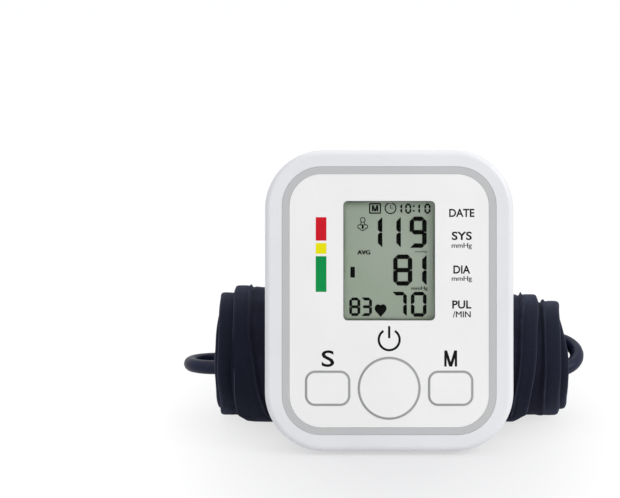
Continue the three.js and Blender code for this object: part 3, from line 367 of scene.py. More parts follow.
finishes = {
    "shell": mouldedPlastic("shellWhite", (229, 229, 230), 0.36),
    "panel": mouldedPlastic("panelWhite", (240, 239, 236), 0.42, shade=2, grain=0.08),
    "ring": mouldedPlastic("ringGrey", (190, 190, 189), 0.42, shade=2, grain=0.08),
    # grey of the line round each button: painted shade in the gap, and the printed edge on the cap
    "outline": mouldedPlastic("outlineGrey", (163, 163, 163), 0.5, shade=2, grain=0.05),
    "ink": printedInk("inkBlack", (22, 22, 24)),
    "greyInk": printedInk("inkGrey", (48, 48, 51)),
    "segment": printedInk("displaySegment", (5, 6, 5), 0.0),
    "red": printedInk("inkRed", (206, 22, 38), 0.12),
    "yellow": printedInk("inkYellow", (236, 226, 12), 0.12),
    "green": printedInk("inkGreen", (6, 142, 70), 0.12),
    "innerPlastic": mouldedPlastic("innerPlastic", (141, 144, 148), 0.55),
    "blackPlastic": mouldedPlastic("blackPlastic", (27, 27, 29), 0.5),
    "rubber": mouldedPlastic("footRubber", (44, 45, 47), 0.85, grain=0.4, grainScale=1800),
    "tube": mouldedPlastic("siliconeTube", (216, 212, 200), 0.45),
    "cellWrap": mouldedPlastic("cellWrap", (63, 74, 87), 0.35, shade=5, grain=0.05),
    "board": mouldedPlastic("boardGreen", (29, 90, 52), 0.4, shade=8, grain=0.3, grainScale=900),
}


def platedSteel():
    material = newFinish("platedSteel", (190, 192, 194), 0.3, 1.0)
    tree = material.node_tree
    streak = noiseAt(tree, coordinate(tree, (1, 1, 30)), 260)
    return feed(material, colour=ramp(tree, streak, 0.3, 0.7, (172, 174, 177), (204, 206, 208)),
                roughness=rangeOf(tree, streak, 0.22, 0.4))


def liquidCrystal():
    material = newFinish("displayCell", (150, 162, 146), 0.5, specular=0.25)
    tree = material.node_tree
    here = coordinate(tree)
    return feed(material,
                colour=ramp(tree, noiseAt(tree, here, 42, 1.5), 0.3, 0.7, (145, 158, 139), (154, 164, 149)),
                normal=bump(tree, noiseAt(tree, here, 4200, 1), 0.05, 0.00002))


def clearWindow():
    material = newFinish("windowClear", (208, 216, 206), 0.09, specular=0.16)
    tree, shader = nodesOf(material)
    shader.inputs["Alpha"].default_value = 0.004
    return feed(material, normal=bump(tree, noiseAt(tree, coordinate(tree), 160, 1), 0.03, 0.00002))


# Brushed loop cloth, with a ribbed tape where the attribute "tape" is 1. Both follow the cloth's own map,
# which runs in metres across and along the band.
def cuffCloth(name, pile, pileLight, ribbon):
    material = newFinish(name, pile, 0.92, specular=0.18)
    tree, shader = nodesOf(material)
    shader.inputs["Sheen Weight"].default_value = 0.42
    shader.inputs["Sheen Roughness"].default_value = 0.38
    shader.inputs["Sheen Tint"].default_value = (*linear((150, 156, 186)), 1)
    across = coordinate(tree, source="UV")
    fuzz = noiseAt(tree, across, 2300, 4, 0.65)
    rib = tree.nodes.new("ShaderNodeTexWave")
    rib.wave_type = "BANDS"
    rib.bands_direction = "Y"
    rib.inputs["Scale"].default_value = 620
    rib.inputs["Distortion"].default_value = 0.6
    rib.inputs["Detail"].default_value = 1
    tree.links.new(across, rib.inputs["Vector"])
    tape = tree.nodes.new("ShaderNodeAttribute")
    tape.attribute_name = "tape"
    share, ribs = tape.outputs["Fac"], rib.outputs["Fac"]
    pileColour = ramp(tree, noiseAt(tree, across, 130, 3), 0.3, 0.72, pile, pileLight)
    ribColour = ramp(tree, ribs, 0.2, 0.9, tuple(c * 0.9 for c in ribbon), ribbon)
    specks = ramp(tree, fuzz, 0.3, 0.7, (206, 206, 210), (255, 255, 255))
    return feed(material,
                colour=mixOf(tree, "RGBA", None, mixOf(tree, "RGBA", share, pileColour, ribColour), specks,
                             "MULTIPLY"),
                normal=bump(tree, mixOf(tree, "FLOAT", share, fuzz, ribs), 0.6, 0.00014))


def hoseRubber():
    material = newFinish("hoseNavy", (23, 27, 50), 0.46, specular=0.2)
    tree = material.node_tree
    here = coordinate(tree)
    return feed(material,
                colour=ramp(tree, noiseAt(tree, here, 600), 0.3, 0.7, (19, 23, 44), (28, 33, 60)),
                roughness=rangeOf(tree, noiseAt(tree, here, 300), 0.36, 0.52),
                normal=bump(tree, noiseAt(tree, here, 2400, 3), 0.2, 0.0001))


finishes["steel"] = platedSteel()
finishes["display"] = liquidCrystal()
finishes["displayEdge"] = mouldedPlastic("displayEdge", (112, 122, 110), 0.5)
finishes["window"] = clearWindow()
finishes["cloth"] = cuffCloth("cuffFabric", (24, 25, 39), (33, 35, 53), (31, 34, 51))
finishes["hook"] = cuffCloth("hookTape", (28, 29, 36), (38, 39, 47), (32, 33, 40))
finishes["hose"] = hoseRubber()
finishes["bladder"] = mouldedPlastic("bladderRubber", (40, 41, 43), 0.7)
print("finishes ready:", len(finishes))


# Sizes on the face that the pieces share
face = {"ringWidth": 87.8, "ringHeight": 109.9, "ringRadius": 16.2, "ringBand": 3.0, "inlay": 1.0,
        "buttonZ": 25.9, "buttonGap": 0.5, "flange": 0.9, "proud": 0.3, "capRound": 0.35, "stem": 2.0,
        "stemEnd": 4.3}
buttons = {"power": {"x": 0.0, "width": 24.8, "height": 24.8, "radius": 12.39},
           "set": {"x": -25.2, "width": 17.6, "height": 13.5, "radius": 3.7},
           "memory": {"x": 25.2, "width": 17.6, "height": 13.5, "radius": 3.7}}
screws = {"lower": (29.0, 12.3), "upper": (38.5, 84.0), "post": 4.0, "hole": 1.6, "head": 2.9, "seat": 14.9}
supply = {"x": 46.7, "depth": 12.25, "z": 68.5, "length": 6.6, "thickness": 2.7, "width": 7.6,
          "notchFrom": 1.7, "notchTo": 10.3, "notchHalf": 4.3, "room": 0.5}
boardFace = 8.7
through = -1  # a depth in front of the face, where cutters start
screwSpots = [(side * x, z) for x, z in (screws["lower"], screws["upper"]) for side in (-1, 1)]


# The outline of a button, grown by a margin. The round one has more segments to its corners.
def buttonPlate(name, button, margin, near, far, segments=16):
    around = 3 * segments if button["radius"] > 12 else segments
    return roundedPlate(name, button["width"] + 2 * margin, button["height"] + 2 * margin,
                        button["radius"] + margin, near, far, button["x"], face["buttonZ"], around)


def windowPlate(name, margin, near, far):
    return roundedPlate(name, display["width"] + 2 * margin, display["height"] + 2 * margin,
                        display["radius"] + margin, near, far, 0, display["centreZ"], 10)


def supplyNotch():
    s = supply
    half = s["thickness"] / 2 + s["room"]
    return block("notch", (s["x"] - s["notchFrom"], s["depth"] - half, s["z"] - s["notchHalf"]),
                 (s["x"] + s["notchTo"], s["depth"] + half, s["z"] + s["notchHalf"]))


def makeFrontShell():
    width, height, corner = housing["width"], housing["height"], housing["corner"]
    shell = roundedPlate("frontShell", width, height, corner, 0, housing["parting"], segments=28)
    bevelEdges(shell, atDepth(0), housing["frontRound"], 7)
    bevelEdges(shell, atDepth(housing["parting"]), housing["partingRound"], 2)
    inset, wall = 2 * housing["wall"], housing["frontWall"]
    inner = roundedPlate("inner", width - inset, height - inset, corner - housing["wall"], wall,
                         housing["parting"] + 1, segments=20)
    seat = roundedPlate("seat", face["ringWidth"] + 2 * fineLine, face["ringHeight"] + 2 * fineLine,
                        face["ringRadius"] + fineLine, through, face["inlay"] + clearance, segments=24)
    cutAway(shell, inner, seat, windowPlate("opening", -display["ledge"], through, wall + 1), supplyNotch())
    for button in buttons.values():
        cutAway(shell, buttonPlate("opening", button, face["buttonGap"], through, wall + 1))
    for x, z in screwSpots:
        weld(shell, rod("post", (x, wall - 0.5, z), (x, boardFace, z), screws["post"]))
        cutAway(shell, rod("pilot", (x, wall + 0.8, z), (x, boardFace + 1, z), screws["hole"], 24))
    softenEdges(shell, 0.12)
    return settle(shell, finishes["shell"], "housing", ["front_shell"])


def makeRing():
    bands = 2 * face["ringBand"]
    ring = roundedPlate("ringInlay", face["ringWidth"], face["ringHeight"], face["ringRadius"], 0.04,
                        face["inlay"] + 0.1, segments=24)
    hole = roundedPlate("hole", face["ringWidth"] - bands, face["ringHeight"] - bands,
                        face["ringRadius"] - face["ringBand"], through, 2, segments=24)
    softenEdges(cutAway(ring, hole), 0.1)
    return settle(ring, finishes["ring"], "housing", ["ring_inlay"])


def makeFacePlate():
    inset = 2 * (face["ringBand"] + fineLine)
    panel = roundedPlate("facePlate", face["ringWidth"] - inset, face["ringHeight"] - inset,
                         face["ringRadius"] - face["ringBand"] - fineLine, 0, face["inlay"], segments=24)
    cutAway(panel, windowPlate("hole", fineLine, through, 2))
    for button in buttons.values():
        cutAway(panel, buttonPlate("hole", button, face["buttonGap"], through, 2, 24))
    softenEdges(panel, 0.12)
    return settle(panel, finishes["panel"], "housing", ["face_plate"])


def makeWindow():
    window = softenEdges(windowPlate("lcdWindow", 0, 0.1, face["inlay"] + 0.1), 0.15)
    return settle(window, finishes["window"], "housing", ["lcd_window"])


def makeButton(key):
    button = buttons[key]
    x, z = button["x"], face["buttonZ"]
    flangeFront = housing["frontWall"] + clearance
    cap = buttonPlate(key + "Button", button, 0, -face["proud"], flangeFront + 1, 24)
    bevelEdges(cap, atDepth(-face["proud"]), face["capRound"], 4)
    margin = face["buttonGap"] + face["flange"]
    weld(cap, buttonPlate("flange", button, margin, flangeFront, flangeFront + 1, 20),
         rod("stem", (x, flangeFront + 0.5, z), (x, face["stemEnd"], z), face["stem"]))
    return settle(cap, finishes["panel"], key + "_button", [key + "_button"])


makeFrontShell()
makeRing()
makeFacePlate()
makeWindow()
for key in buttons:
    makeButton(key)
print("front of the housing made")


# Grey line round each button: a grey fill in its gap, whose grey is painted shade of the gap, and a grey edge
# printed on its cap
outline = {"gapShadeFit": 0.03, "gapShadeInside": 0.04, "paint": 0.02, "paintWidth": 0.48, "paintDepth": 0.2,
           "round": 0.15}


def makeOutline(key):
    button, line = buttons[key], outline
    # The grey fill flush in the button's gap is painted shade, standing in for the dark of the gap
    gapShadeFill = buttonPlate(key + "Seal", button, face["buttonGap"] - line["gapShadeFit"], line["gapShadeFit"],
                       face["inlay"], 24)
    cutAway(gapShadeFill, buttonPlate("hole", button, line["gapShadeInside"], through, 2, 24))
    settle(gapShadeFill, finishes["outline"], "housing")
    front = -face["proud"] - line["paint"]
    edge = buttonPlate(key + "Edge", button, line["paint"], front, line["paintDepth"], 24)
    bevelEdges(edge, atDepth(front), line["round"], 3)
    cutAway(edge, buttonPlate("hole", button, -line["paintWidth"], through, 2, 24))
    settle(edge, finishes["outline"], key + "_button")


for key in buttons:
    makeOutline(key)


# Printed words and marks, each fitted to its size on the face: [words, x, z of its middle, width, height]
ink = {"near": -0.025, "far": 0.01, "bold": 0.11, "unitShift": 0.06}
words = [("DATE", 29.75, 97.75, 10.3, 3.35), ("SYS", 29.75, 88.35, 8.2, 3.45),
         ("DIA", 29.75, 74.55, 6.9, 3.35), ("PUL", 29.75, 60.2, 7.8, 3.35)]
units = [("mmHg", 29.75, 84.15, 8.2, 2.6), ("mmHg", 29.75, 70.6, 8.2, 2.6), ("/MIN", 29.75, 56.2, 7.2, 2.55)]
letterS = {"x": -25.1, "z": 38.05, "width": 5.2, "height": 6.8, "bold": 0.12}
letterM = {"x": 25.2, "z": 38.1, "width": 5.25, "height": 6.6, "stroke": 0.96}
capitalHeight = 0.7  # of the font's size


# Text turned into a mesh, fitted to its size and printed from near to far; stroke thickens its lines
def printed(name, characters, x, z, width, height, finish, stroke, near=ink["near"], far=ink["far"]):
    deselect()
    bpy.ops.object.text_add(location=(0, 0, 0))
    piece = bpy.context.active_object
    piece.data.body = characters
    piece.data.resolution_u = 4
    piece.data.extrude = 0.5
    piece.data.size = height / capitalHeight
    piece.data.offset = stroke
    bpy.ops.object.convert(target="MESH")
    piece = bpy.context.active_object
    piece.name = name
    xs, ys = [v.co.x for v in piece.data.vertices], [v.co.y for v in piece.data.vertices]
    middle = Vector(((min(xs) + max(xs)) / 2, (min(ys) + max(ys)) / 2, 0))
    fit = Matrix.Diagonal((width / (max(xs) - min(xs)), height / (max(ys) - min(ys)), far - near, 1))
    upright = Matrix.Translation((x, (near + far) / 2, z)) @ Matrix.Rotation(math.pi / 2, 4, "X")
    piece.data.transform(upright @ fit @ Matrix.Translation(-middle))
    return settle(piece, finish, "housing")


# Bold words: two copies side by side, the second a hair farther back
def printedTwice(name, characters, x, z, width, height, finish, stroke, shift,
                 near=ink["near"], far=ink["far"]):
    printed(name + "Left", characters, x - shift, z, width, height, finish, stroke, near, far)
    printed(name + "Right", characters, x + shift, z, width, height, finish, stroke, near + 0.004, far)


for k, word in enumerate(words):
    printed("word" + str(k + 1), *word, finishes["ink"], ink["bold"])
for k, unit in enumerate(units):
    printedTwice("unit" + str(k + 1), *unit, finishes["greyInk"], 0, ink["unitShift"])
printed("letterS", "S", letterS["x"], letterS["z"], letterS["width"], letterS["height"], finishes["ink"],
        letterS["bold"])


# A bold M: two stems and two slanted strokes that meet in a low point. The slants are drawn out sideways at
# their upper ends, and are a little wider than the stems because they are measured level.
def makeLetterM(name, x, z, width, height, stroke, near, far):
    low, high = z - height / 2, z + height / 2
    half = stroke * 0.62
    parts = []
    for side in (-1, 1):
        outer = x + side * width / 2
        inner = outer - side * stroke
        parts.append(block("stem", (min(outer, inner), near, low), (max(outer, inner), far, high)))
        slant = block("slant", (x + side * 0.02 - half, near, low), (x + side * 0.02 + half, far, high))
        selectInside(slant, "VERT", lambda v: v.co.z > z)
        bpy.ops.transform.translate(value=(side * (width / 2 - stroke * 0.64), 0, 0))
        bpy.ops.object.mode_set(mode="OBJECT")
        parts.append(slant)
    letter = weld(parts[0], *parts[1:])
    letter.name = name
    return settle(letter, finishes["ink"], "housing")


makeLetterM("letterM", letterM["x"], letterM["z"], letterM["width"], letterM["height"], letterM["stroke"],
            ink["near"], ink["far"])


def printedBar(name, x, z, width, height, finish, radius=0.0, near=ink["near"], far=ink["far"]):
    bar = block(name, (x - width / 2, near, z - height / 2), (x + width / 2, far, z + height / 2))
    if radius:
        bevelEdges(bar, alongDepth, radius, 4)
    return settle(bar, finish, "housing")


# Colour bar for the pressure classes, then the mark over the power button
colourBar = {"x": -27.9, "width": 4.4, "red": (86.4, 96.0), "yellow": (81.0, 85.4), "green": (65.4, 80.0)}
for colour in ("red", "yellow", "green"):
    low, high = colourBar[colour]
    printedBar(colour + "Bar", colourBar["x"], (low + high) / 2, colourBar["width"], high - low,
               finishes[colour])

powerMark = {"z": 45.8, "radius": 4.28, "stroke": 0.95, "opening": 33, "reach": 8.0, "barLow": 46.4,
             "barHigh": 51.35, "barRound": 0.12}


def makePowerMark():
    m = powerMark
    z, half = m["z"], m["stroke"] / 2
    ring = rod("powerMark", (0, ink["near"], z), (0, ink["far"], z), m["radius"] + half, 64)
    cutAway(ring, rod("hole", (0, -1, z), (0, 1, z), m["radius"] - half, 64))
    spread = math.tan(math.radians(m["opening"])) * m["reach"]
    wedge = block("opening", (-spread, -1, z), (spread, 1, z + m["reach"]))
    selectInside(wedge, "VERT", lambda v: v.co.z < z + 1)
    bpy.ops.transform.resize(value=(0.001, 1, 1), center_override=(0, 0, z))
    bpy.ops.object.mode_set(mode="OBJECT")
    cutAway(ring, wedge)
    settle(ring, finishes["ink"], "housing")
    printedBar("powerStroke", 0, (m["barLow"] + m["barHigh"]) / 2, m["stroke"], m["barHigh"] - m["barLow"],
               finishes["ink"], m["barRound"])


makePowerMark()
print("face printed")


# What the display shows. Digits are made of mitred strokes: [digit, left, bottom, width, height, stroke]
shown = {"near": 2.87, "far": 2.91, "gap": 0.3, "mitre": 0.92, "cutBack": 0.45, "point": 0.48}
strokes = {"0": "abcdef", "1": "bc", "3": "abgcd", "7": "abc", "8": "abcdefg", "9": "abcdfg"}
bigDigits = [("1", -9.6, 83.4, 6.8, 12.85, 1.85), ("1", -2.0, 83.4, 6.8, 12.85, 1.85),
             ("9", 8.4, 83.4, 7.0, 12.85, 1.85), ("8", 1.65, 67.85, 7.85, 12.8, 1.85),
             ("1", 8.55, 67.85, 6.85, 12.8, 1.85), ("7", 1.15, 55.1, 6.1, 10.25, 1.5),
             ("0", 8.9, 55.1, 6.45, 10.25, 1.5)]
smallDigits = [("8", -16.4, 55.4, 4.55, 7.6, 1.2), ("3", -11.55, 55.4, 4.5, 7.6, 1.2)]
clockDigits = [("1", 3.05, 97.4, 2.3, 4.2, 0.8), ("0", 6.55, 97.4, 2.55, 4.2, 0.8),
               ("1", 10.4, 97.4, 2.3, 4.2, 0.8), ("0", 14.45, 97.4, 2.55, 4.2, 0.8)]


# One stroke of a digit, with its corners cut by a share of its thickness: {(right, top): share}
def digitStroke(low, high, thickness, cuts):
    bar = block("stroke", (low[0], shown["near"], low[1]), (high[0], shown["far"], high[1]))
    for (right, top), share in cuts.items():
        x, z = (high if right else low)[0], (high if top else low)[1]
        bevelEdges(bar, lambda edge: alongDepth(edge) and abs(edge.verts[0].co.x - x) < 1e-4
                   and abs(edge.verts[0].co.z - z) < 1e-4, thickness * share, 1)
    return bar


# Where two strokes meet, both are pointed, which cuts off the digit's corner. A free end is mitred on its
# inner side and keeps its outer corner.
def digitStrokes(value, left, bottom, width, height, thickness):
    letters = strokes[value]
    gap = shown["gap"] * min(1, thickness / 1.2)
    right, top, middle = left + width, bottom + height, bottom + height / 2
    half = thickness / 2
    cutBack, point = shown["cutBack"], shown["point"]

    def end(first, second):  # how far both strokes stop short, and their cuts inside and outside the digit
        if first in letters and second in letters:
            return half + gap * 0.3, point, point
        return gap, shown["mitre"], None

    topLeft, topRight, lowLeft, lowRight = end("a", "f"), end("a", "b"), end("d", "e"), end("d", "c")
    everyCorner = [(False, False), (True, False), (False, True), (True, True)]
    places = {
        "a": ((left + topLeft[0], top - thickness), (right - topRight[0], top),
              (topLeft[1], topRight[1], topLeft[2], topRight[2])),
        "b": ((right - thickness, middle + gap / 2), (right, top - topRight[0]),
              (cutBack, None, topRight[1], topRight[2])),
        "c": ((right - thickness, bottom + lowRight[0]), (right, middle - gap / 2),
              (lowRight[1], lowRight[2], cutBack, None)),
        "d": ((left + lowLeft[0], bottom), (right - lowRight[0], bottom + thickness),
              (lowLeft[2], lowRight[2], lowLeft[1], lowRight[1])),
        "e": ((left, bottom + lowLeft[0]), (left + thickness, middle - gap / 2),
              (lowLeft[2], lowLeft[1], None, cutBack)),
        "f": ((left, middle + gap / 2), (left + thickness, top - topLeft[0]),
              (None, cutBack, topLeft[2], topLeft[1])),
        "g": ((left + half, middle - half), (right - half, middle + half), (point, point, point, point)),
    }
    made = []
    for letter in letters:
        low, high, shares = places[letter]
        cuts = {corner: share for corner, share in zip(everyCorner, shares) if share}
        made.append(digitStroke(low, high, thickness, cuts))
    return made


def asSegment(piece):
    return settle(piece, finishes["segment"], "housing")


def makeDigits(name, digits):
    made = []
    for digit in digits:
        made += digitStrokes(*digit)
    return asSegment(joinPieces(name, made))


makeDigits("bigDigits", bigDigits)
makeDigits("smallDigits", smallDigits)
makeDigits("clockDigits", clockDigits)


def shownText(name, characters, x, z, width, height):
    printed(name, characters, x, z, width, height, finishes["segment"], 0, shown["near"], shown["far"])


def shownTwice(name, characters, x, z, width, height, stroke, shift):
    printedTwice(name, characters, x, z, width, height, finishes["segment"], stroke, shift,
                 shown["near"], shown["far"])


def shownBar(name, x, z, width, height):
    printedBar(name, x, z, width, height, finishes["segment"], 0, shown["near"], shown["far"])


def shownDisc(name, x, z, radius, sides=48, behind=0.0):
    return rod(name, (x, shown["near"] + behind, z), (x, shown["far"] + behind, z), radius, sides)


# A cutter for the display's signs, from well before them to well behind
def holeDisc(x, z, radius, sides):
    return rod("hole", (x, 1, z), (x, 4, z), radius, sides)


memoryFrame = {"x": -5.8, "z": 99.6, "width": 4.95, "height": 4.4, "holeWidth": 3.9, "holeHeight": 3.35}
clock = {"x": 0.55, "z": 99.7, "outer": 2.46, "inner": 1.98, "hand": 0.3}
colon = {"x": 10.1, "size": 0.72, "heights": (98.6, 100.5)}


def makeDisplaySigns():
    for k, z in enumerate(colon["heights"]):
        shownBar("colon" + str(k + 1), colon["x"], z, colon["size"], colon["size"])
    m, near, far = memoryFrame, shown["near"], shown["far"]
    border = roundedPlate("memoryFrame", m["width"], m["height"], 0.6, near, far, m["x"], m["z"], 5)
    cutAway(border, roundedPlate("hole", m["holeWidth"], m["holeHeight"], 0.3, 1, 4, m["x"], m["z"], 4))
    asSegment(border)
    makeLetterM("memoryLetter", m["x"], m["z"] + 0.05, 2.7, 2.6, 0.64, near, far)
    x, z = clock["x"], clock["z"]
    asSegment(cutAway(shownDisc("clockRing", x, z, clock["outer"], 32), holeDisc(x, z, clock["inner"], 32)))
    shownBar("clockHandLong", x, z + 0.65, clock["hand"], 1.5)
    shownBar("clockHandShort", x + 0.45, z, 1.1, clock["hand"])
    shownTwice("average", "AVG", -10.45, 81.55, 5.2, 1.8, 0.03, 0.13)
    shownText("upperUnit", "mmHg", 13.1, 81.75, 4.9, 1.15)
    shownTwice("lowerUnit", "mmHg", 12.5, 66.65, 6.7, 1.85, 0, 0.06)
    shownBar("levelBlock", -15.0, 73.4, 1.85, 4.4)
    shownText("userNumber", "1", -10.87, 92.1, 0.8, 1.8)  # inside the user's sign


heartSign = {"x": -3.5, "z": 57.6, "width": 4.9, "height": 5.2}


# A heart: a block standing on its corner, with a round lobe on the middle of each upper side
def makeHeart():
    half, lobe = 1.0, math.sqrt(0.5)
    heart = block("heart", (-half, shown["near"], -half), (half, shown["far"], half))
    heart.data.transform(Matrix.Rotation(math.radians(45), 4, "Y"))
    for side in (-1, 1):
        weld(heart, shownDisc("lobe", side * lobe, lobe, half))
    low, high = -2 * lobe, lobe + half
    grow = Matrix.Diagonal((heartSign["width"] / (2 * high), 1, heartSign["height"] / (high - low), 1))
    place = Matrix.Translation((heartSign["x"], 0, heartSign["z"]))
    heart.data.transform(place @ grow @ Matrix.Translation((0, 0, -(low + high) / 2)))
    return asSegment(heart)


# The user's sign, one outline round a head, a neck, two shoulders and a waist: [aside, z, radius]. Each lobe
# lies a hair behind the one before, because they join cleanly only where their faces don't share a plane.
userSign = {"x": -10.87, "line": 0.35, "apart": 0.002,
            "lobes": [(0, 94.85, 1.14), (0, 93.25, 0.95), (-1.22, 92.1, 0.98), (1.22, 92.1, 0.98),
                      (0, 91.8, 1.42)]}


def makeUserSign():
    x, lobes = userSign["x"], userSign["lobes"]
    sign = weld(*[shownDisc("userSign", x + aside, z, radius, behind=userSign["apart"] * k)
                  for k, (aside, z, radius) in enumerate(lobes)])
    for aside, z, radius in lobes:
        cutAway(sign, holeDisc(x + aside, z, radius - userSign["line"], 40))
    return asSegment(sign)


makeDisplaySigns()
makeHeart()
makeUserSign()


# The window's border, printed on its back in the display's own tone with a darker outer line
def makeWindowBorder():
    near, far = face["inlay"] + 0.1, face["inlay"] + 0.16
    for name, outer, inner, finish in (("windowBorder", -0.35, -display["ledge"] - 0.05, "display"),
                                       ("windowLine", 0.0, -0.36, "displayEdge")):
        border = cutAway(windowPlate(name, outer, near, far), windowPlate("hole", inner, 0, 3))
        settle(border, finishes[finish], "housing")


makeWindowBorder()
print("display filled")


# Back half: a wedge drawn out of the parting face, drafted on its sides, cut to the slope of the back
back = {"draft": 10.0, "start": 12.3, "reach": 38.0, "postStart": 10.9, "wall": 2.2, "beyond": 48.0}
door = {"z": 87.0, "width": 56.4, "height": 49.6, "thickness": 2.4, "recess": 2.75, "gap": 0.35,
        "hingeGap": 0.6, "hinge": 2.0, "hingeZ": 22.8, "lug": 0.9, "lugLength": 1.6, "knuckle": 2.04,
        "rim": 1.3, "rimShift": 0.3, "slotLow": (-5.3, -4.8, -23.9), "slotHigh": (5.3, -2.9, -21.3)}
bay = {"width": 51.0, "height": 44.2, "depth": 13.95, "wall": 1.5}
air = {"depth": 21.0, "z": 50.0, "x": -48.81, "flange": 6.4, "flangeThickness": 1.6, "port": 3.4, "body": 5.0}
feet = {"radius": 4.5, "height": 1.5, "spots": [(36.5, 20.5), (37.3, 99.0)]}
slope = math.atan((housing["topDepth"] - housing["bottomDepth"]) / housing["height"])
backOutward = Vector((0, math.cos(slope), -math.sin(slope)))


def backDepth(z):
    return housing["bottomDepth"] + z * math.tan(slope)


doorFrame = Matrix.Translation((0, backDepth(door["z"]), door["z"])) @ Matrix.Rotation(-slope, 4, "X")
onDoor = inHousing @ doorFrame


def inBack(piece):
    piece.data.transform(doorFrame)
    return piece


# The wedge with its outside moved in by inset, drawn out from its first face to a draft and cut to the slope
def wedgeBody(name, inset, start):
    draft = math.tan(math.radians(back["draft"]))
    narrow = inset + max(0, start - housing["parting"]) * draft
    body = roundedPlate(name, housing["width"] - 2 * narrow, housing["height"] - 2 * narrow,
                        housing["corner"] - narrow, start, start + 0.01, segments=28)
    selectInside(body, "FACE", atDepth(start + 0.01))
    bpy.ops.mesh.inset(thickness=back["reach"] * draft, depth=back["reach"], use_even_offset=True)
    bpy.ops.mesh.select_all(action="SELECT")
    backEdge = Vector((0, housing["bottomDepth"] - inset / math.cos(slope), 0))
    bpy.ops.mesh.bisect(plane_co=backEdge, plane_no=backOutward, use_fill=True, clear_outer=True)
    turnOutward(body)

    def onBack(edge):
        return all(abs((v.co - backEdge).dot(backOutward)) < 2e-3 for v in edge.verts)

    return bevelEdges(body, onBack, housing["backRound"] - inset, 8)


def hingeRod(name, reach, radius):
    half, depth, z = door["width"] / 2 + reach, -door["hinge"], door["hingeZ"]
    return rod(name, (-half, depth, z), (half, depth, z), radius, 40)


# A rod on the air socket's axis, with its ends counted from the socket's outer face inwards
def airRod(name, start, end, radius, sides=48):
    x, depth, z = air["x"], air["depth"], air["z"]
    return rod(name, (x + start, depth, z), (x + end, depth, z), radius, sides)


# The tub, its rim, the hinge channel and the posts are built inside the wedge and welded to its shell
def makeRearShell():
    shell = wedgeBody("rearShell", 0, back["start"])
    cutAway(shell, wedgeBody("cavity", back["wall"], back["start"] - 1))
    rim, wall, shift = door["lugLength"] + door["rim"], bay["wall"], door["rimShift"]
    width, height = door["width"] / 2 + rim, door["height"] / 2 + rim
    bayWidth, bayHeight = bay["width"] / 2, bay["height"] / 2
    tub = inBack(block("rim", (-width, -door["recess"] - wall, shift - height), (width, 0, shift + height)))
    weld(tub, inBack(block("tub", (-bayWidth - wall, -bay["depth"] - wall, -bayHeight - wall),
                           (bayWidth + wall, 0, bayHeight + wall))),
         inBack(hingeRod("channel", rim, door["knuckle"] + clearance + wall)))
    weld(tub, airRod("boss", -2, 5, air["flange"] + 2))
    for x, z in screwSpots:
        weld(tub, rod("post", (x, back["postStart"], z), (x, housing["topDepth"] + 5, z), screws["post"]))
    combine(tub, wedgeBody("limit", back["wall"] / 2, back["postStart"]), "INTERSECT")
    weld(shell, tub)
    half, deep = door["width"] / 2 + door["gap"], door["recess"]
    low, high = -door["height"] / 2 - door["gap"], door["height"] / 2 + door["hingeGap"]
    cutAway(shell,
            inBack(block("recess", (-half, -deep, low), (half, deep + 2, high))),
            inBack(block("bay", (-bayWidth, -bay["depth"], -bayHeight), (bayWidth, 2, bayHeight))),
            inBack(hingeRod("lugs", door["lugLength"] + clearance, door["lug"] + clearance)),
            inBack(hingeRod("channel", door["gap"], door["knuckle"] + clearance)),
            inBack(block("slot", door["slotLow"], door["slotHigh"])))
    for x, z in screwSpots:
        cutAway(shell, rod("hole", (x, back["postStart"] - 1, z), (x, back["beyond"], z), screws["hole"], 24),
                rod("seat", (x, screws["seat"], z), (x, back["beyond"], z), screws["head"] + clearance, 32))
    cutAway(shell, airRod("seat", -6, air["flangeThickness"] + clearance, air["flange"] + clearance, 64),
            airRod("hole", -6, 12, air["body"] + clearance), supplyNotch())
    softenEdges(shell, 0.15)
    return settle(shell, finishes["shell"], "housing", ["rear_shell"])


makeRearShell()


# The door's own looks: a rounded hinge edge, a hollow for the finger with three grips in it, and a catch
cover = {"cornerRound": 1.0, "hollow": 16.0, "hollowDepth": 6.6, "hollowZ": 9.0, "hollowFlat": (1, 0.5, 0.6),
         "grips": 3, "gripZ": 5.5, "gripStep": 3.0, "gripHalf": 4.5, "gripThick": 0.4, "gripInner": -1.35,
         "gripOuter": -0.4, "catchHalf": 4.0, "catchDepth": 1.5, "tongue": (3.4, 4.8), "nose": (2.3, 3.5),
         "noseStart": 0.7}


def makeDoor():
    c = cover
    half, low, high, inside = door["width"] / 2, -door["height"] / 2, door["height"] / 2, -door["thickness"]
    lid = block("batteryDoor", (-half, inside, low), (half, 0, high))
    bevelEdges(lid, lambda edge: all(abs(v.co.y) < 1e-3 and abs(v.co.z - high) < 1e-3 for v in edge.verts),
               door["hinge"], 8)
    bevelEdges(lid, lambda edge: alongDepth(edge) and edge.verts[0].co.z < 0, c["cornerRound"], 5)
    deselect()
    bpy.ops.mesh.primitive_uv_sphere_add(segments=64, ring_count=40, radius=c["hollow"],
                                         location=(0, c["hollowDepth"], low + c["hollowZ"]),
                                         scale=c["hollowFlat"])
    ball = bpy.context.active_object
    bpy.ops.object.transform_apply(location=True, rotation=True, scale=True)
    cutAway(lid, ball)
    side, thick = c["gripHalf"], c["gripThick"]
    for k in range(c["grips"]):
        z = low + c["gripZ"] + c["gripStep"] * k
        grip = block("grip", (-side, c["gripInner"], z - thick), (side, c["gripOuter"], z + thick))
        weld(lid, softenEdges(grip, 0.2))
    side, deep = c["catchHalf"], inside - c["catchDepth"]
    weld(lid, hingeRod("lugs", door["lugLength"], door["lug"]),
         block("tongue", (-side, deep, low + c["tongue"][0]), (side, inside + 0.1, low + c["tongue"][1])),
         block("nose", (-side, deep, low + c["nose"][0]),
               (side, inside - c["noseStart"], low + c["nose"][1])))
    softenEdges(lid, 0.18)
    return settle(lid, finishes["shell"], "battery_door", ["battery_door"], onDoor)


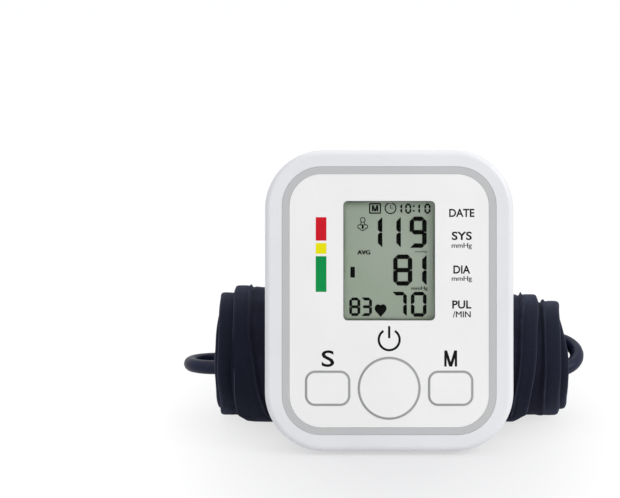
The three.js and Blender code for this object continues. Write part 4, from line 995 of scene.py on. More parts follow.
def makeFeet():
    tall, radius = feet["height"], feet["radius"]
    profile = [(0, radius), (tall - 0.5, radius), (tall - 0.25, radius - 0.1), (tall, radius - 0.4),
               (tall, radius - 0.8), (tall - 0.2, radius - 1.0)]
    spots = [(side * x, z) for x, z in feet["spots"] for side in (-1, 1)]
    for k, (x, z) in enumerate(spots):
        start = Vector((x, backDepth(z), z)) + backOutward * clearance
        foot = turnedBar("foot" + str(k + 1), start, start + backOutward, profile)
        settle(foot, finishes["rubber"], "housing", ["foot_" + str(k + 1)])


# Screws with a pointed shank, a domed head and a cross slot
def makeScrews():
    seat = screws["seat"] + clearance
    start = housing["frontWall"] + 2
    top, shank, head = seat - start, 1.3, screws["head"]
    profile = [(0, 0.8), (1.2, shank), (top, shank), (top, head), (top + 0.8, head), (top + 1.3, head - 0.2),
               (top + 1.8, head - 0.7), (top + 2, 1.6)]
    for k, (x, z) in enumerate(screwSpots):
        screw = turnedBar("caseScrew" + str(k + 1), (x, start, z), (x, start + 1, z), profile, 32)
        for wide, tall in ((1.5, 0.3), (0.3, 1.5)):
            cutAway(screw, block("slot", (x - wide, seat + 1.2, z - tall), (x + wide, seat + 3, z + tall)))
        settle(screw, finishes["steel"], "housing", ["case_screw_" + str(k + 1)])


def makeAirSocket():
    flange, thick, body = air["flange"], air["flangeThickness"], air["body"]
    profile = [(0.25, 5.9), (0, 6.15), (0, 6.25), (0.15, flange), (thick, flange), (thick, body), (9, body),
               (9, 1.7), (12.5, 1.5)]
    middle = Vector((air["x"], air["depth"], air["z"]))
    socket = turnedBar("airSocket", middle, middle + Vector((1, 0, 0)), profile, 64)
    cutAway(socket, airRod("port", -1, 7.5, air["port"]), airRod("bore", -1, 14, 0.8, 24))
    softenEdges(socket, 0.12)
    return settle(socket, finishes["innerPlastic"], "housing", ["air_socket"])


# A block round the supply socket's middle, from its rear end to its mouth
def supplyBlock(name, rear, mouth, thin, narrow):
    s = supply
    half, thick, wide = s["length"] / 2, s["thickness"] / 2 - thin, s["width"] / 2 - narrow
    return block(name, (s["x"] - half + rear, s["depth"] - thick, s["z"] - wide),
                 (s["x"] + half + mouth, s["depth"] + thick, s["z"] + wide))


def acrossHousing(edge):
    a, b = (v.co for v in edge.verts)
    return abs(a.y - b.y) < 1e-4 and abs(a.z - b.z) < 1e-4


def makeSupplySocket():
    shell = supplyBlock("usbSocket", 0, 0, 0, 0)
    bevelEdges(shell, acrossHousing, 0.4, 4)
    cutAway(shell, supplyBlock("mouth", 0.5, 1, 0.3, 0.3))
    weld(shell, supplyBlock("tongue", 0.3, -1, supply["thickness"] / 2 - 0.3, 1.1))
    softenEdges(shell, 0.06)
    return settle(shell, finishes["steel"], "housing", ["usb_socket"])


# The cells: a steel core in a printed wrap, facing opposite ways by turns
cell = {"diameter": 10.4, "length": 44.5, "pitch": 10.9, "nub": 1.1, "nubRadius": 1.9, "aside": 0.9,
        "depth": 8.2, "coreInset": 0.85, "band": 10.5}


def makeCells():
    radius, length = cell["diameter"] / 2, cell["length"]
    body, core = length - cell["nub"], radius - cell["coreInset"]
    for k in range(4):
        forward = -1 if k % 2 else 1
        z = (1.5 - k) * cell["pitch"]
        start = Vector((forward * (cell["aside"] - length / 2), -cell["depth"], z))
        ahead = start + Vector((forward, 0, 0))
        number = str(k + 1)
        wrap = turnedBar("cell" + number, start, ahead,
                         [(0.12, core), (0.15, radius - 0.3), (0.4, radius), (body - 0.4, radius),
                          (body - 0.15, radius - 0.3), (body - 0.12, core - 0.4)])
        settle(wrap, finishes["cellWrap"], "housing", ["battery_" + number], onDoor)
        steel = turnedBar("cellCore" + number, start, ahead,
                          [(0, core - 0.3), (0.2, core), (body - 0.2, core - 0.3), (body, core - 0.9),
                           (body, cell["nubRadius"]), (length - 0.25, cell["nubRadius"]),
                           (length, cell["nubRadius"] - 0.3)])
        settle(steel, finishes["steel"], "housing", place=onDoor)
        band = turnedBar("cellBand" + number, start, ahead,
                         [(body - cell["band"], radius - 0.3), (body - cell["band"], radius + 0.02),
                          (body - 0.6, radius + 0.02), (body - 0.6, radius - 0.3)])
        settle(band, finishes["innerPlastic"], "housing", place=onDoor)


makeCells()
makeDoor()
makeFeet()
makeScrews()
makeAirSocket()
makeSupplySocket()
print("back of the housing made")


# Inner pieces keep their solids and take their finishes
innerFinishes = {
    "display": ["lcd_glass"],
    "innerPlastic": ["lcd_frame", "air_manifold"],
    "rubber": ["zebra_strip_upper", "zebra_strip_lower", "pump_sleeve"],
    "board": ["circuit_board"],
    "blackPlastic": ["control_chip", "power_switch", "set_switch", "memory_switch", "pump_head",
                     "pressure_sensor", "buzzer"],
    "steel": ["pump_motor", "release_valve", "contact_plate_left", "contact_plate_right"],
    "tube": ["tube_socket", "tube_valve", "tube_pump", "tube_sensor"],
    "bladder": ["air_bladder"],
}
for finish, names in innerFinishes.items():
    for name in names:
        node = bpy.data.objects[name]
        node.data.materials.clear()
        node.data.materials.append(finishes[finish])


# The rolled cuff, in millimetres: a band wound in a spiral, whose wraps lie at an angle counted in degrees
roll = {"core": 15.6, "pitch": 2.8, "edgeThickness": 2.4, "bodyThickness": 1.8, "turns": 3.875, "tail": 300.0,
        "taper": 0.0005, "scale": 0.9872, "innerLeft": -74.5, "innerRight": 76.7, "tailLeft": -66.9,
        "tailRight": 64.2, "middleLeft": -73.0, "middleRight": 73.5, "binding": 7.0, "tailTaper": 27.0,
        "taperReach": 31.0}
rollStart = roll["tail"] - 360 * roll["turns"]
lastTurn = roll["tail"] - 360
inMetres = Matrix.Scale(mm, 4)
middleX = (windowLow.x + windowHigh.x) / 2 / mm


def wrapRadius(angle):
    return roll["core"] + roll["pitch"] * (angle - rollStart) / 360


def scaleAt(x):
    return roll["scale"] - roll["taper"] * x


bottomRadius = wrapRadius(270) + roll["edgeThickness"]
farReach = scaleAt(roll["tailLeft"]) * (wrapRadius(0) + roll["edgeThickness"])
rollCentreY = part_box("cuff_band")[1].y / mm - farReach


def rollPoint(x, angle, radius):
    turn = math.radians(angle)
    scale = scaleAt(x)
    return Vector((x + middleX, rollCentreY + scale * radius * math.cos(turn),
                   scale * (bottomRadius + radius * math.sin(turn))))


# Air hose: the same route as its solid, in finer steps round its half turns
hose = {"diameter": 6.0, "runRadius": 12.4, "glandAngle": 328, "firstRun": 203.4, "secondRun": 23.4,
        "thirdRun": 143.4, "thirdRadius": 10.8, "glandFrom": -50, "glandStem": -57, "glandTo": -66,
        "leftTurn": -74.6, "rightTurn": 69.4, "innerTurn": -57, "end": 32, "turnSteps": 24,
        "length": 0.472}


def halfTurn(x, direction, fromAngle, fromRadius, toAngle, toRadius):
    steps = hose["turnSteps"]
    start, end = rollPoint(x, fromAngle, fromRadius), rollPoint(x, toAngle, toRadius)
    middle = (start + end) / 2
    reach = (start - end).length / 2
    points = []
    for k in range(steps + 1):
        turn = math.pi * k / steps
        point = middle + (start - middle) * math.cos(turn)
        point.x += direction * reach * math.sin(turn)
        points.append(point)
    return points


def straightRun(fromX, toX, angle, radius, steps):
    return [rollPoint(fromX + (toX - fromX) * (k + 1) / steps, angle, radius) for k in range(steps - 1)]


def hoseRoute():
    h = hose
    return [
        rollPoint(h["glandTo"] - clearance, h["glandAngle"], h["runRadius"]),
        *halfTurn(h["leftTurn"], -1, h["glandAngle"], h["runRadius"], h["firstRun"], h["runRadius"]),
        *straightRun(h["leftTurn"], h["rightTurn"], h["firstRun"], h["runRadius"], 10),
        *halfTurn(h["rightTurn"], 1, h["firstRun"], h["runRadius"], h["secondRun"], h["runRadius"]),
        *straightRun(h["rightTurn"], h["innerTurn"], h["secondRun"], h["runRadius"], 9),
        *halfTurn(h["innerTurn"], -1, h["secondRun"], h["runRadius"], h["thirdRun"], h["thirdRadius"]),
        *straightRun(h["innerTurn"], h["end"] - h["diameter"], h["thirdRun"], h["thirdRadius"], 6),
        rollPoint(h["end"] - h["diameter"], h["thirdRun"], h["thirdRadius"]),
        rollPoint(h["end"], h["thirdRun"], h["thirdRadius"]),
    ]


def tubeOnCurve(name, points, radius):
    curve = bpy.data.curves.new(name, "CURVE")
    curve.dimensions = "3D"
    curve.bevel_depth = radius
    curve.bevel_resolution = 6
    curve.use_fill_caps = True
    line = curve.splines.new("POLY")
    line.points.add(len(points) - 1)
    for k, point in enumerate(points):
        line.points[k].co = (*point, 1)
    return addObject(name, curve)


def makeHose():
    route = [point * mm for point in hoseRoute()]
    piece = tubeOnCurve("airHose", route, hose["diameter"] / 2 * mm)
    piece.data.splines[0].use_smooth = True
    piece.data.materials.append(finishes["hose"])
    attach(piece, "housing")
    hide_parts("air_hose")
    return piece, route


airHose, hoseLine = makeHose()
print("air hose laid:", round(sum((b - a).length for a, b in zip(hoseLine, hoseLine[1:])), 4), "m")


# Gland under the inmost wrap, and the plug with its grip rings, both in the core. Along their axes the shapes
# are [distance, radius], and what repeats has its own start and step.
gland = {"ribs": 4, "ribAt": 9.0, "ribStep": 1.6, "stem": 1.9, "flange": 3.2}
plug = {"rings": 3, "ringAt": 2.0, "ringStep": 3.2, "bore": 1.2,
        "head": [(12.2, 3.9), (12.5, 4.1), (13.7, 4.1), (14, 3.8), (14, 2.5), (17.4, 2.5), (17.6, 2.8),
                 (17.9, 2.98), (18.4, 3.02), (18.9, 2.98), (19.2, 2.8), (19.4, 2.5), (22, 2.3), (22.8, 2.1),
                 (23, 1.7)]}


def makeGland():
    h = hose
    wrap = wrapRadius(h["glandAngle"] - 3 * 360)
    start, end = (rollPoint(h[x], h["glandAngle"], h["runRadius"]) for x in ("glandFrom", "glandTo"))
    profile = [(0, 3.6), (0.3, 4.05), (0.8, 4.2), (8.4, 3.8)]
    for k in range(gland["ribs"]):
        at, high, low = gland["ribAt"] + gland["ribStep"] * k, 3.75 - 0.1 * k, 3.4 - 0.05 * k
        profile += [(at, high), (at + 0.4, low), (at + 1.2, low), (at + 1.4, high - 0.1)]
    body = turnedBar("hoseGland", start, end, [*profile, ((end - start).length, 3.3)])
    inner, outer, flangeLow, flangeHigh = (rollPoint(h["glandStem"], h["glandAngle"], radius) for radius in
                                           (h["runRadius"], wrap + 0.6, wrap - 2.1, wrap - 0.9))
    weld(body, rod("stem", inner, outer, gland["stem"], 32),
         softenEdges(rod("flange", flangeLow, flangeHigh, gland["flange"]), 0.3))
    softenEdges(body, 0.1)
    return settle(body, finishes["hose"], "housing", ["hose_gland"], inMetres)


def makePlug():
    start = rollPoint(hose["end"] + clearance, hose["thirdRun"], hose["thirdRadius"])
    ahead = rollPoint(hose["end"] + 10, hose["thirdRun"], hose["thirdRadius"])
    profile = [(0, 3.2), (0.3, 3.4)]
    for k in range(plug["rings"]):
        at = plug["ringAt"] + plug["ringStep"] * k
        profile += [(at, 3.5), (at + 0.4, 3.9), (at + 0.8, 4.0), (at + 2, 4.0), (at + 2.4, 3.9),
                    (at + 2.8, 3.5)]
    body = turnedBar("hosePlug", start, ahead, profile + plug["head"])
    along = (ahead - start).normalized()
    cutAway(body, rod("bore", start - along, start + along * 24, plug["bore"], 24))
    return settle(body, finishes["hose"], "housing", ["hose_plug"], inMetres)


makeGland()
hosePlug = makePlug()
print("hose fittings made")


# Cuff cloth: a fine skin over the wound band, with bound edges, seam ridges and furrows, and soft creases
cuff = {"angleStep": 3.0, "bodyParts": 36, "bulge": 0.45, "bulgeLength": 24.0, "crumple": 0.16,
        "crumpleLength": 4.5, "edgeWave": 0.7, "waveLeft": (38.0, 3.1), "waveRight": (41.0, 7.7),
        "ridge": 0.5, "ridgeRight": 0.85, "ridgeAt": 6.9, "ridgeWidth": 0.42, "pucker": 0.75,
        "puckerLength": 1.6, "groundPress": 0.8, "pressReach": 50.0, "stitchDip": 0.16, "stitchAt": 5.9,
        "stitchWidth": 0.3, "furrow": 0.45, "furrowAt": 7.9, "furrowWidth": 0.4, "slopeWidth": 0.9,
        "crown": 0.08, "crownReach": 6.0, "seamDrift": 9.0, "driftFrom": 160.0, "driftTo": 10.0,
        "sweepLeft": 1.5, "sweepRight": -4.5, "sweepFrom": 190.0, "sweepTo": 50.0, "tuckLeft": 2.0,
        "tuckRight": -4.0, "innerFrom": 420.0, "innerTo": 300.0, "taperEase": 0.12, "droop": 1.9,
        "droopReach": 5.0, "droopHalf": 60.0, "belly": 1.9, "bellyAt": 249.0, "bellySpread": 20.0, "lip": 1.5,
        "lipReach": 5.0, "lipStart": (140.0, 175.0), "lipEnd": (225.0, 255.0), "offBack": 0.12,
        "offGround": 0.02}


def smoothStep(value, low, high):
    t = min(1, max(0, (value - low) / (high - low)))
    return t * t * (3 - 2 * t)


def peak(value, width):
    return math.exp(-((value / width) ** 2))


# From 0 on the inner wraps to 1 farther out
def outShare(angle):
    return smoothStep(angle, lastTurn - cuff["innerFrom"], lastTurn - cuff["innerTo"])


def edgeOf(angle, inner, middle, tail):
    wide = inner + (middle - inner) * outShare(angle)
    return wide + (tail - wide) * smoothStep(angle, lastTurn - 45, lastTurn)


# The tail narrows evenly on both sides over its last stretch
def taperAt(angle):
    fromEnd = math.radians(roll["tail"] - angle) * wrapRadius(roll["tail"])
    soft = max(0, 1 - fromEnd / roll["taperReach"])
    return roll["tailTaper"] * (soft - cuff["taperEase"] * math.sin(math.pi * min(1, soft)) ** 2)


# The last wrap runs a little askew down the front, and the inner wraps are drawn in over the top
def skewAt(angle, sweep, tuck):
    down = smoothStep(angle, roll["tail"] - cuff["sweepFrom"], roll["tail"] - cuff["sweepTo"])
    inside = 1 - outShare(angle)
    return sweep * down + tuck * inside * max(0, math.sin(math.radians(angle))) ** 2


# One edge of the band at an angle. Inward is the sign of its way in.
def bandEdge(angle, side, inward):
    length, start = cuff["wave" + side]
    wave = cuff["edgeWave"] * (noise.noise(Vector((angle / length, start, 0))) + inward * 0.5)
    skew = skewAt(angle, cuff["sweep" + side], cuff["tuck" + side])
    edge = edgeOf(angle, roll["inner" + side], roll["middle" + side], roll["tail" + side])
    return edge + wave + skew + inward * taperAt(angle)


def leftEdge(angle):
    return bandEdge(angle, "Left", 1)


def rightEdge(angle):
    return bandEdge(angle, "Right", -1)


# How far the left seam of the last wrap drifts inward on its way down the front
def seamDrift(angle):
    start, end = roll["tail"] - cuff["driftFrom"], roll["tail"] - cuff["driftTo"]
    return cuff["seamDrift"] * smoothStep(angle, start, end)


# Under the roll the inner wraps sink towards the ground wherever the tail doesn't carry them
def droopAt(x, angle):
    place = lastTurn + (angle - lastTurn) % 360
    half = cuff["droopHalf"]
    low = max(0, math.cos(math.radians(place - 270) * 90 / half)) if abs(place - 270) < half else 0
    if angle > lastTurn or not low:
        return 0
    reach = cuff["droopReach"]
    bare = smoothStep(leftEdge(place) - x, 0, reach) + smoothStep(x - rightEdge(place), 0, reach)
    return cuff["droop"] * low * low * bare


# The last wrap hangs loose: a belly low on its front, and a lip along its left edge that stands off
def looseAt(x, angle):
    if angle < lastTurn + 90:
        return 0
    belly = cuff["belly"] * peak(angle - cuff["bellyAt"], cuff["bellySpread"])
    fromEdge = max(0, 1 - (x - leftEdge(angle)) / cuff["lipReach"])
    window = smoothStep(angle, *cuff["lipStart"]) * (1 - smoothStep(angle, *cuff["lipEnd"]))
    return belly + cuff["lip"] * fromEdge * fromEdge * window


# How far the roll's surface swells at a place, the same for all wraps so that they stay nested
def swell(x, angle):
    ahead, up = math.cos(math.radians(angle)), math.sin(math.radians(angle))
    broad = noise.noise(Vector((x / cuff["bulgeLength"], ahead * 1.3, up * 1.3)))
    crumple = noise.noise(Vector((x / cuff["crumpleLength"], ahead * 1.1 + 5, up * 1.1 + angle / 900)))
    outer = 0.5 + 0.5 * smoothStep(angle, rollStart + 500, lastTurn)
    return (cuff["bulge"] * broad + cuff["crumple"] * crumple) * outer


# Soft creases on the outer wraps: [x at the top, x at the bottom, first angle, last angle, height, width]
creases = [(-56, -50, 85, 250, 0.4, 1.5), (-62.5, -60.5, 150, 262, 0.45, 0.8),
           (-52.5, -43, 150, 262, 0.45, 1.5), (-70.3, -70.6, 135, 240, 0.35, 1.0),
           (-67.6, -66.4, 115, 266, -0.9, 0.9), (54, 49, 110, 250, 0.4, 1.5), (47, 43, 150, 262, 0.35, 1.5),
           (62.2, 57, 140, 262, 0.6, 0.9), (66.3, 61.5, 105, 262, -0.6, 1.1), (70.3, 67.5, 95, 250, 0.3, 1.5)]


def creaseAt(x, angle):
    lift = 0
    place = angle % 360
    for top, bottom, first, last, height, width in creases:
        if first < place < last:
            along = (place - first) / (last - first)
            centre = top + (bottom - top) * along ** 1.3
            lift += height * math.sin(math.pi * along) * peak(x - centre, width)
    return lift


backPoint = inHousing @ Vector((0, housing["bottomDepth"], 0)) / mm
backNormal = (turned @ backOutward).normalized()


# Keeps a point of the cloth above the ground and off the housing's back
def keptClear(point):
    point.z = max(point.z, cuff["offGround"])
    depth = (point - backPoint).dot(backNormal)
    if depth < cuff["offBack"]:
        point += backNormal * (cuff["offBack"] - depth)
    return point


# Places across the band, close together at its seams, each with its way in from the edge. A seam that has
# drifted inward takes the places beside it along.
def sectionPlaces(left, right, drift):
    close = [1.2, 2.2, 3.3, 4.4, 5.3, 5.65, 5.9, 6.15, 6.45, 6.7, 6.95, 7.2, 7.5, 8.0, 9.2, 11.2, 14]
    seam = cuff["ridgeAt"]
    start, end = left + close[-1] + drift, right - close[-1]
    body = [(start + (end - start) * k / cuff["bodyParts"], close[-1]) for k in range(1, cuff["bodyParts"])]
    leftSide = [(left + (d * (1 + drift / seam) if d < seam else d + drift), d) for d in close]
    return leftSide + body + [(right - d, d) for d in reversed(close)]


# The band's outer and inner heights at a way in from its edge
def stitchDip(d):
    return cuff["stitchDip"] * peak(d - cuff["stitchAt"], cuff["stitchWidth"])


def bodyShare(d):
    return smoothStep(d, roll["binding"], roll["binding"] + cuff["slopeWidth"])


def topHeight(d, ridge):
    edge, body = roll["edgeThickness"], (roll["edgeThickness"] + roll["bodyThickness"]) / 2
    crown = cuff["crown"] * math.sin(min(d, cuff["crownReach"]) / cuff["crownReach"] * math.pi)
    return (edge + (body - edge) * bodyShare(d) + crown - stitchDip(d)
            + ridge * peak(d - cuff["ridgeAt"], cuff["ridgeWidth"])
            - cuff["furrow"] * peak(d - cuff["furrowAt"], cuff["furrowWidth"]))


def lowHeight(d):
    return (roll["edgeThickness"] - roll["bodyThickness"]) / 2 * bodyShare(d) + stitchDip(d)


def cuffAngles():
    step = cuff["angleStep"]
    count = round((roll["tail"] - rollStart) / step)
    close = [0, 0.25, 0.8, 1.7]
    return ([rollStart + a for a in close] + [rollStart + step * k for k in range(1, count)]
            + [roll["tail"] - a for a in reversed(close)])


# The seam ridge stands up only where no further wrap lies on it, puckers along the stitching and is pressed
# flat under the roll
def ridgeAt(onRight, angle):
    free = lastTurn - 360 if onRight else lastTurn
    arc = math.radians(angle) * wrapRadius(angle)
    along = arc / cuff["puckerLength"]
    pucker = 1 + cuff["pucker"] * noise.noise(Vector((along, 11.3 if onRight else 2.9, 0)))
    height = cuff["ridgeRight"] if onRight else cuff["ridge"]
    pressed = 1 - cuff["groundPress"] * peak(angle % 360 - 270, cuff["pressReach"])
    return height * pucker * pressed * (0.2 + 0.8 * smoothStep(angle, free - 30, free + 10))


# One loop round the band's section at an angle: [x, height above the wrap's inner face, way in from the edge]
def bandSection(angle, fromEnd):
    left, right = leftEdge(angle), rightEdge(angle)
    half = roll["edgeThickness"] / 2
    places = [(x, min(d, fromEnd + 0.6)) for x, d in sectionPlaces(left, right, seamDrift(angle))]
    edge = [math.radians(turn) for turn in (45, 0, -45)]
    middle = (left + right) / 2
    over = [(x, topHeight(d, ridgeAt(x > middle, angle)), d) for x, d in places]
    under = [(x, lowHeight(d), d) for x, d in places]
    rightRound = [(right - half + half * math.cos(t), half + half * math.sin(t), 0.5) for t in edge]
    leftRound = [(left + half - half * math.cos(t), half + half * math.sin(t), 0.5) for t in reversed(edge)]
    return over + rightRound + under[::-1] + leftRound


tapePatch = {"from": 225, "to": 285, "halfWidth": 31, "low": -0.2, "high": 0.5, "step": 2.5, "columns": 40}

# The last wrap is simulated as slack cloth over the roll. Its seams, its tail and its start are held, and
# what lies between them folds under a light pressure. It is made ten times as large, which suits the solver.
loose = {"size": 10.0, "columns": 64, "rowStep": 4.5, "start": -40.0, "slackAcross": 1.02,
         "slackAround": 1.03, "midHeight": 1.2, "share": 0.8, "highest": 1.1, "frames": 24, "held": 7.4,
         "heldStart": 20.0, "stiffness": 15.0, "bending": 4.0, "pressure": 1.5, "unevenness": 0.5,
         "underSteps": 16, "underReach": 90.0, "comesIn": 25.0}


def unevenAt(x, angle):
    ahead, up = math.cos(math.radians(angle)), math.sin(math.radians(angle))
    return loose["unevenness"] * (0.5 + noise.noise(Vector((x / 9, ahead * 1.2, up * 1.2))))


def looseAngles():
    count = round((roll["tail"] - loose["start"]) / loose["rowStep"])
    return [loose["start"] + loose["rowStep"] * k for k in range(count + 1)]


def loosePlaces(angle):
    left, right = leftEdge(angle), rightEdge(angle)
    return [left + (right - left) * i / loose["columns"] for i in range(loose["columns"] + 1)]


def gridPiece(name, rows):
    across = len(rows[0])
    points = [point * (loose["size"] * mm) for row in rows for point in row]
    faces = [(k * across + i, k * across + i + 1, (k + 1) * across + i + 1, (k + 1) * across + i)
             for k in range(len(rows) - 1) for i in range(across - 1)]
    mesh = bpy.data.meshes.new(name)
    mesh.from_pydata(points, [], faces)
    return addObject(name, mesh)


def isHeld(x, angle):
    left, right = leftEdge(angle) + seamDrift(angle), rightEdge(angle)
    fromEnd = math.radians(roll["tail"] - angle) * wrapRadius(angle)
    onPatch = tapePatch["from"] < angle < tapePatch["to"] and abs(x) < tapePatch["halfWidth"]
    onStart = angle < loose["start"] + loose["heldStart"]
    return onPatch or onStart or min(x - left, right - x, fromEnd) < loose["held"]


def makeSlackCloth(sheet):
    sheet.shape_key_add(name="placed")
    slack = sheet.shape_key_add(name="slack")
    axis = rollPoint(0, 0, 0) * (loose["size"] * mm)
    grow = Vector((loose["slackAcross"], loose["slackAround"], loose["slackAround"]))
    for point in slack.data:
        point.co = axis + (point.co - axis) * grow
    cloth = sheet.modifiers.new("cloth", "CLOTH")
    cloth.settings.quality = 6
    cloth.settings.mass = 0.3
    cloth.settings.tension_stiffness = loose["stiffness"]
    cloth.settings.compression_stiffness = loose["stiffness"]
    cloth.settings.shear_stiffness = 5
    cloth.settings.bending_stiffness = loose["bending"]
    cloth.settings.vertex_group_mass = "held"
    cloth.settings.rest_shape_key = slack
    cloth.settings.effector_weights.gravity = 0
    cloth.settings.use_pressure = True
    cloth.settings.uniform_pressure_force = loose["pressure"]
    cloth.collision_settings.distance_min = 0.006
    cloth.collision_settings.use_self_collision = False
    cloth.point_cache.frame_end = loose["frames"]


# How far each place of the last wrap rises, in rows along its angle
def simulateLooseWrap():
    angles = looseAngles()
    spots = [[(x, angle) for x in loosePlaces(angle)] for angle in angles]
    rest = loose["midHeight"]
    sheet = gridPiece("looseWrap", [[rollPoint(x, angle, wrapRadius(angle) + rest + unevenAt(x, angle))
                                     for x, angle in row] for row in spots])
    steps, reach = loose["underSteps"], loose["underReach"]
    under = gridPiece("rollUnder", [[rollPoint(reach * (2 * i / steps - 1), angle, wrapRadius(angle))
                                     for i in range(steps + 1)] for angle in angles])
    under.modifiers.new("collision", "COLLISION")
    under.collision.thickness_outer = 0.002
    under.collision.use_culling = False
    held = sheet.vertex_groups.new(name="held")
    allSpots = [spot for row in spots for spot in row]
    held.add([k for k, spot in enumerate(allSpots) if isHeld(*spot)], 1.0, "REPLACE")
    makeSlackCloth(sheet)
    for count in range(1, loose["frames"] + 1):
        bpy.context.scene.frame_set(count)
    settled = sheet.evaluated_get(bpy.context.evaluated_depsgraph_get()).to_mesh()
    places = iter(settled.vertices)
    lifts = []
    for row in spots:
        lifts.append([])
        for x, angle in row:
            outward = Vector((0, math.cos(math.radians(angle)), math.sin(math.radians(angle))))
            moved = next(places).co / (loose["size"] * mm) - rollPoint(x, angle, wrapRadius(angle) + rest)
            lifts[-1].append(loose["share"] * min(loose["highest"], max(0, moved.dot(outward))))
    bpy.context.scene.frame_set(1)
    for piece in (sheet, under):
        bpy.data.objects.remove(piece)
    return lifts


def foldAt(lifts, x, angle):
    if not lifts or angle <= loose["start"]:
        return 0
    left, right = leftEdge(angle), rightEdge(angle)
    column = min(1, max(0, (x - left) / (right - left))) * loose["columns"]
    row = min((angle - loose["start"]) / loose["rowStep"], len(lifts) - 1)
    i, k = min(int(column), loose["columns"] - 1), min(int(row), len(lifts) - 2)
    u, v = column - i, row - k
    near = lifts[k][i] * (1 - u) + lifts[k][i + 1] * u
    far = lifts[k + 1][i] * (1 - u) + lifts[k + 1][i + 1] * u
    comingIn = smoothStep(angle, loose["start"], loose["start"] + loose["comesIn"])
    return (near * (1 - v) + far * v) * comingIn


# The skin between rings of points that are all numbered alike, closed at both ends
def ringFaces(rim, ringSize, count):
    pairs = list(zip(rim, rim[1:] + rim[:1]))
    faces = [(k * ringSize + a, k * ringSize + b, (k + 1) * ringSize + b, (k + 1) * ringSize + a)
             for k in range(count) for a, b in pairs]
    return faces + [tuple(reversed(rim)), tuple(count * ringSize + i for i in rim)]


# A closed piece of cloth: tape says where it is ribbed, and places is its map in metres
def clothPiece(name, points, faces, tape, places):
    mesh = bpy.data.meshes.new(name)
    mesh.from_pydata(points, [], faces)
    marked = mesh.attributes.new("tape", "FLOAT", "POINT")
    marked.data.foreach_set("value", tape)
    cloth = mesh.uv_layers.new(name="cloth")
    for loop in mesh.loops:
        cloth.data[loop.index].uv = places[loop.vertex_index]
    piece = addObject(name, mesh)
    makeActive(piece)
    bpy.ops.object.mode_set(mode="EDIT")
    return turnOutward(piece)


def makeCuff():
    angles = cuffAngles()
    lifts = simulateLooseWrap()
    points, tape, places = [], [], []
    half = roll["edgeThickness"] / 2
    arc = 0
    for k, angle in enumerate(angles):
        radius = wrapRadius(angle)
        if k:
            arc += math.radians(angle - angles[k - 1]) * radius
        fromEnd = min(math.radians(angle - rollStart), math.radians(roll["tail"] - angle)) * radius
        thin = math.sqrt(max(0.02, 1 - max(0, 1 - fromEnd / half) ** 2))
        outer = smoothStep(angle, lastTurn - 200, lastTurn - 60)
        for x, height, d in bandSection(angle, fromEnd):
            lift = swell(x, angle) + creaseAt(x, angle) * outer + looseAt(x, angle) + foldAt(lifts, x, angle)
            point = rollPoint(x, angle, radius + half + (height - half) * thin + lift)
            point.z -= droopAt(x, angle)
            points.append(keptClear(point))
            tape.append(1.0 if d < roll["binding"] + 0.2 else 0.0)
            places.append((x * mm, arc * mm))
    around = len(points) // len(angles)
    faces = ringFaces(list(range(around)), around, len(angles) - 1)
    return clothPiece("cuffBand", points, faces, tape, places)


# The sheet of hook fastener under the tail, let into the band
def makeHookTape():
    t = tapePatch
    count = round((t["to"] - t["from"]) / t["step"])
    columns = t["columns"]
    points = []
    for k in range(count + 1):
        angle = t["from"] + t["step"] * k
        for height in (t["low"], t["high"]):
            for i in range(columns + 1):
                x = t["halfWidth"] * (2 * i / columns - 1)
                lift = swell(x, angle) + creaseAt(x, angle) + looseAt(x, angle)
                points.append(keptClear(rollPoint(x, angle, wrapRadius(angle) + height + lift)))
    ringSize = 2 * (columns + 1)
    rim = list(range(columns + 1)) + [ringSize - 1 - i for i in range(columns + 1)]
    sheet = clothPiece("hookTape", points, ringFaces(rim, ringSize, count), [0.0] * len(points),
                       [(point.x * mm, point.z * mm) for point in points])
    return settle(sheet, finishes["hook"], "housing", ["hook_patch"], inMetres, True)


makeHookTape()
cuffBand = makeCuff()
settle(cuffBand, finishes["cloth"], "housing", ["cuff_band"], inMetres, True)
print("cuff wound:", len(cuffBand.data.polygons), "faces")


# Studio: a pale floor with a painted shadow round the object, a white surround for the camera and soft lamps
# The floor's glow near the object is kept dim, a painted shadow; farther out it is the white surround
stage = {"floor": (238, 238, 240), "surround": (255, 255, 255), "ambientColour": (238, 240, 245),
         "ambient": 0.61, "floorSize": 8.0, "nearShare": 0.68, "farShare": 0.86, "nearShadowGlow": 0.82,
         "farGlow": 1.06, "nearReach": 0.025, "farReach": 0.1}


def mathOf(tree, operation, first, second):
    made = tree.nodes.new("ShaderNodeMath")
    made.operation = operation
    tree.links.new(first, made.inputs[0])
    tree.links.new(second, made.inputs[1])
    return made.outputs["Value"]


def mixShaders(tree, share, first, second):
    made = tree.nodes.new("ShaderNodeMixShader")
    for k, value in enumerate((share, first, second)):
        tree.links.new(value, made.inputs[k])
    return made.outputs["Shader"]


# 1 for the rays that see the backdrop: from the camera, in gloss and through glass
def backdropRay(tree):
    path = tree.nodes.new("ShaderNodeLightPath")
    total = path.outputs["Is Camera Ray"]
    for kind in ("Is Glossy Ray", "Is Transmission Ray"):
        total = mathOf(tree, "MAXIMUM", total, path.outputs[kind])
    return total
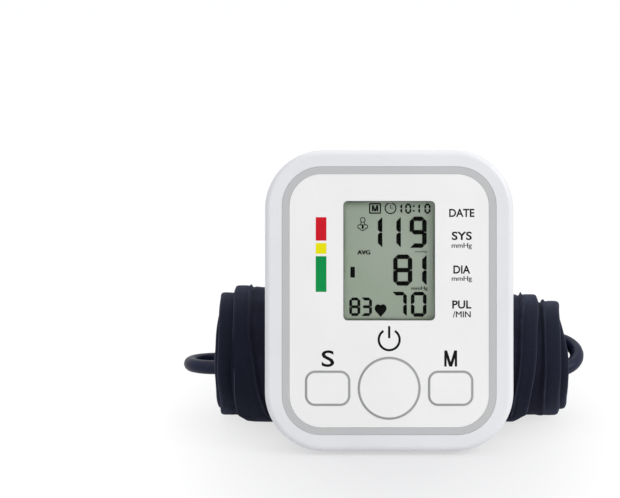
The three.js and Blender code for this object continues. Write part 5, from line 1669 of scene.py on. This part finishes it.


# To the camera the floor turns from a lit surface round the object into the white surround farther out. Round
# the object its glow is dimmer: a painted shadow under the housing, reaching farther in front and behind than
# to the sides.
def makeFloor():
    deselect()
    bpy.ops.mesh.primitive_plane_add(size=stage["floorSize"], location=(0, 0, 0))
    floor = bpy.context.active_object
    floor.name = "floor"
    material = newFinish("floorWhite", stage["floor"], 0.5, specular=0.25)
    tree, shader = nodesOf(material)
    reach = tree.nodes.new("ShaderNodeVectorMath")
    reach.operation = "LENGTH"
    tree.links.new(coordinate(tree, (1, 0.35, 1)), reach.inputs[0])
    out = reach.outputs["Value"]
    share = rangeOf(tree, out, stage["nearShare"], stage["farShare"], stage["nearReach"], stage["farReach"])
    # dim near the object for the painted shadow, white farther out
    glowAndShadow = rangeOf(tree, out, stage["nearShadowGlow"], stage["farGlow"], stage["nearReach"], stage["farReach"])
    seen = mathOf(tree, "MULTIPLY", share, backdropRay(tree))
    light = tree.nodes.new("ShaderNodeEmission")
    light.inputs["Color"].default_value = (*linear(stage["surround"]), 1)
    tree.links.new(glowAndShadow, light.inputs["Strength"])
    surface = mixShaders(tree, seen, shader.outputs["BSDF"], light.outputs["Emission"])
    tree.links.new(surface, tree.nodes["Material Output"].inputs["Surface"])
    floor.data.materials.append(material)


def makeSurround():
    world = bpy.data.worlds.new("surround")
    bpy.context.scene.world = world
    world.use_nodes = True
    tree = world.node_tree
    tree.nodes.clear()
    soft, seen = tree.nodes.new("ShaderNodeBackground"), tree.nodes.new("ShaderNodeBackground")
    soft.inputs["Color"].default_value = (*linear(stage["ambientColour"]), 1)
    soft.inputs["Strength"].default_value = stage["ambient"]
    seen.inputs["Color"].default_value = (*linear(stage["surround"]), 1)
    pick = mixShaders(tree, backdropRay(tree), soft.outputs["Background"], seen.outputs["Background"])
    tree.links.new(pick, tree.nodes.new("ShaderNodeOutputWorld").inputs["Surface"])


def lamp(name, place, target, size, watts):
    light = bpy.data.lights.new(name, "AREA")
    light.shape = "RECTANGLE"
    light.size, light.size_y = size
    light.energy = watts
    stand = addObject(name, light)
    stand.location = place
    stand.rotation_euler = (Vector(place) - Vector(target)).to_track_quat("Z", "Y").to_euler()


makeFloor()
makeSurround()
lamp("left", (-0.7, -1.0, 1.3), (0, 0, 0.06), (1.1, 0.9), 3.6)
lamp("right", (1.1, -0.7, 0.85), (0, 0, 0.06), (0.8, 0.8), 10.2)
lamp("top", (0, 0.3, 1.4), (0, 0, 0.05), (1.2, 1.2), 4.8)
bpy.context.scene.view_settings.view_transform = "Standard"

print("stage ready")
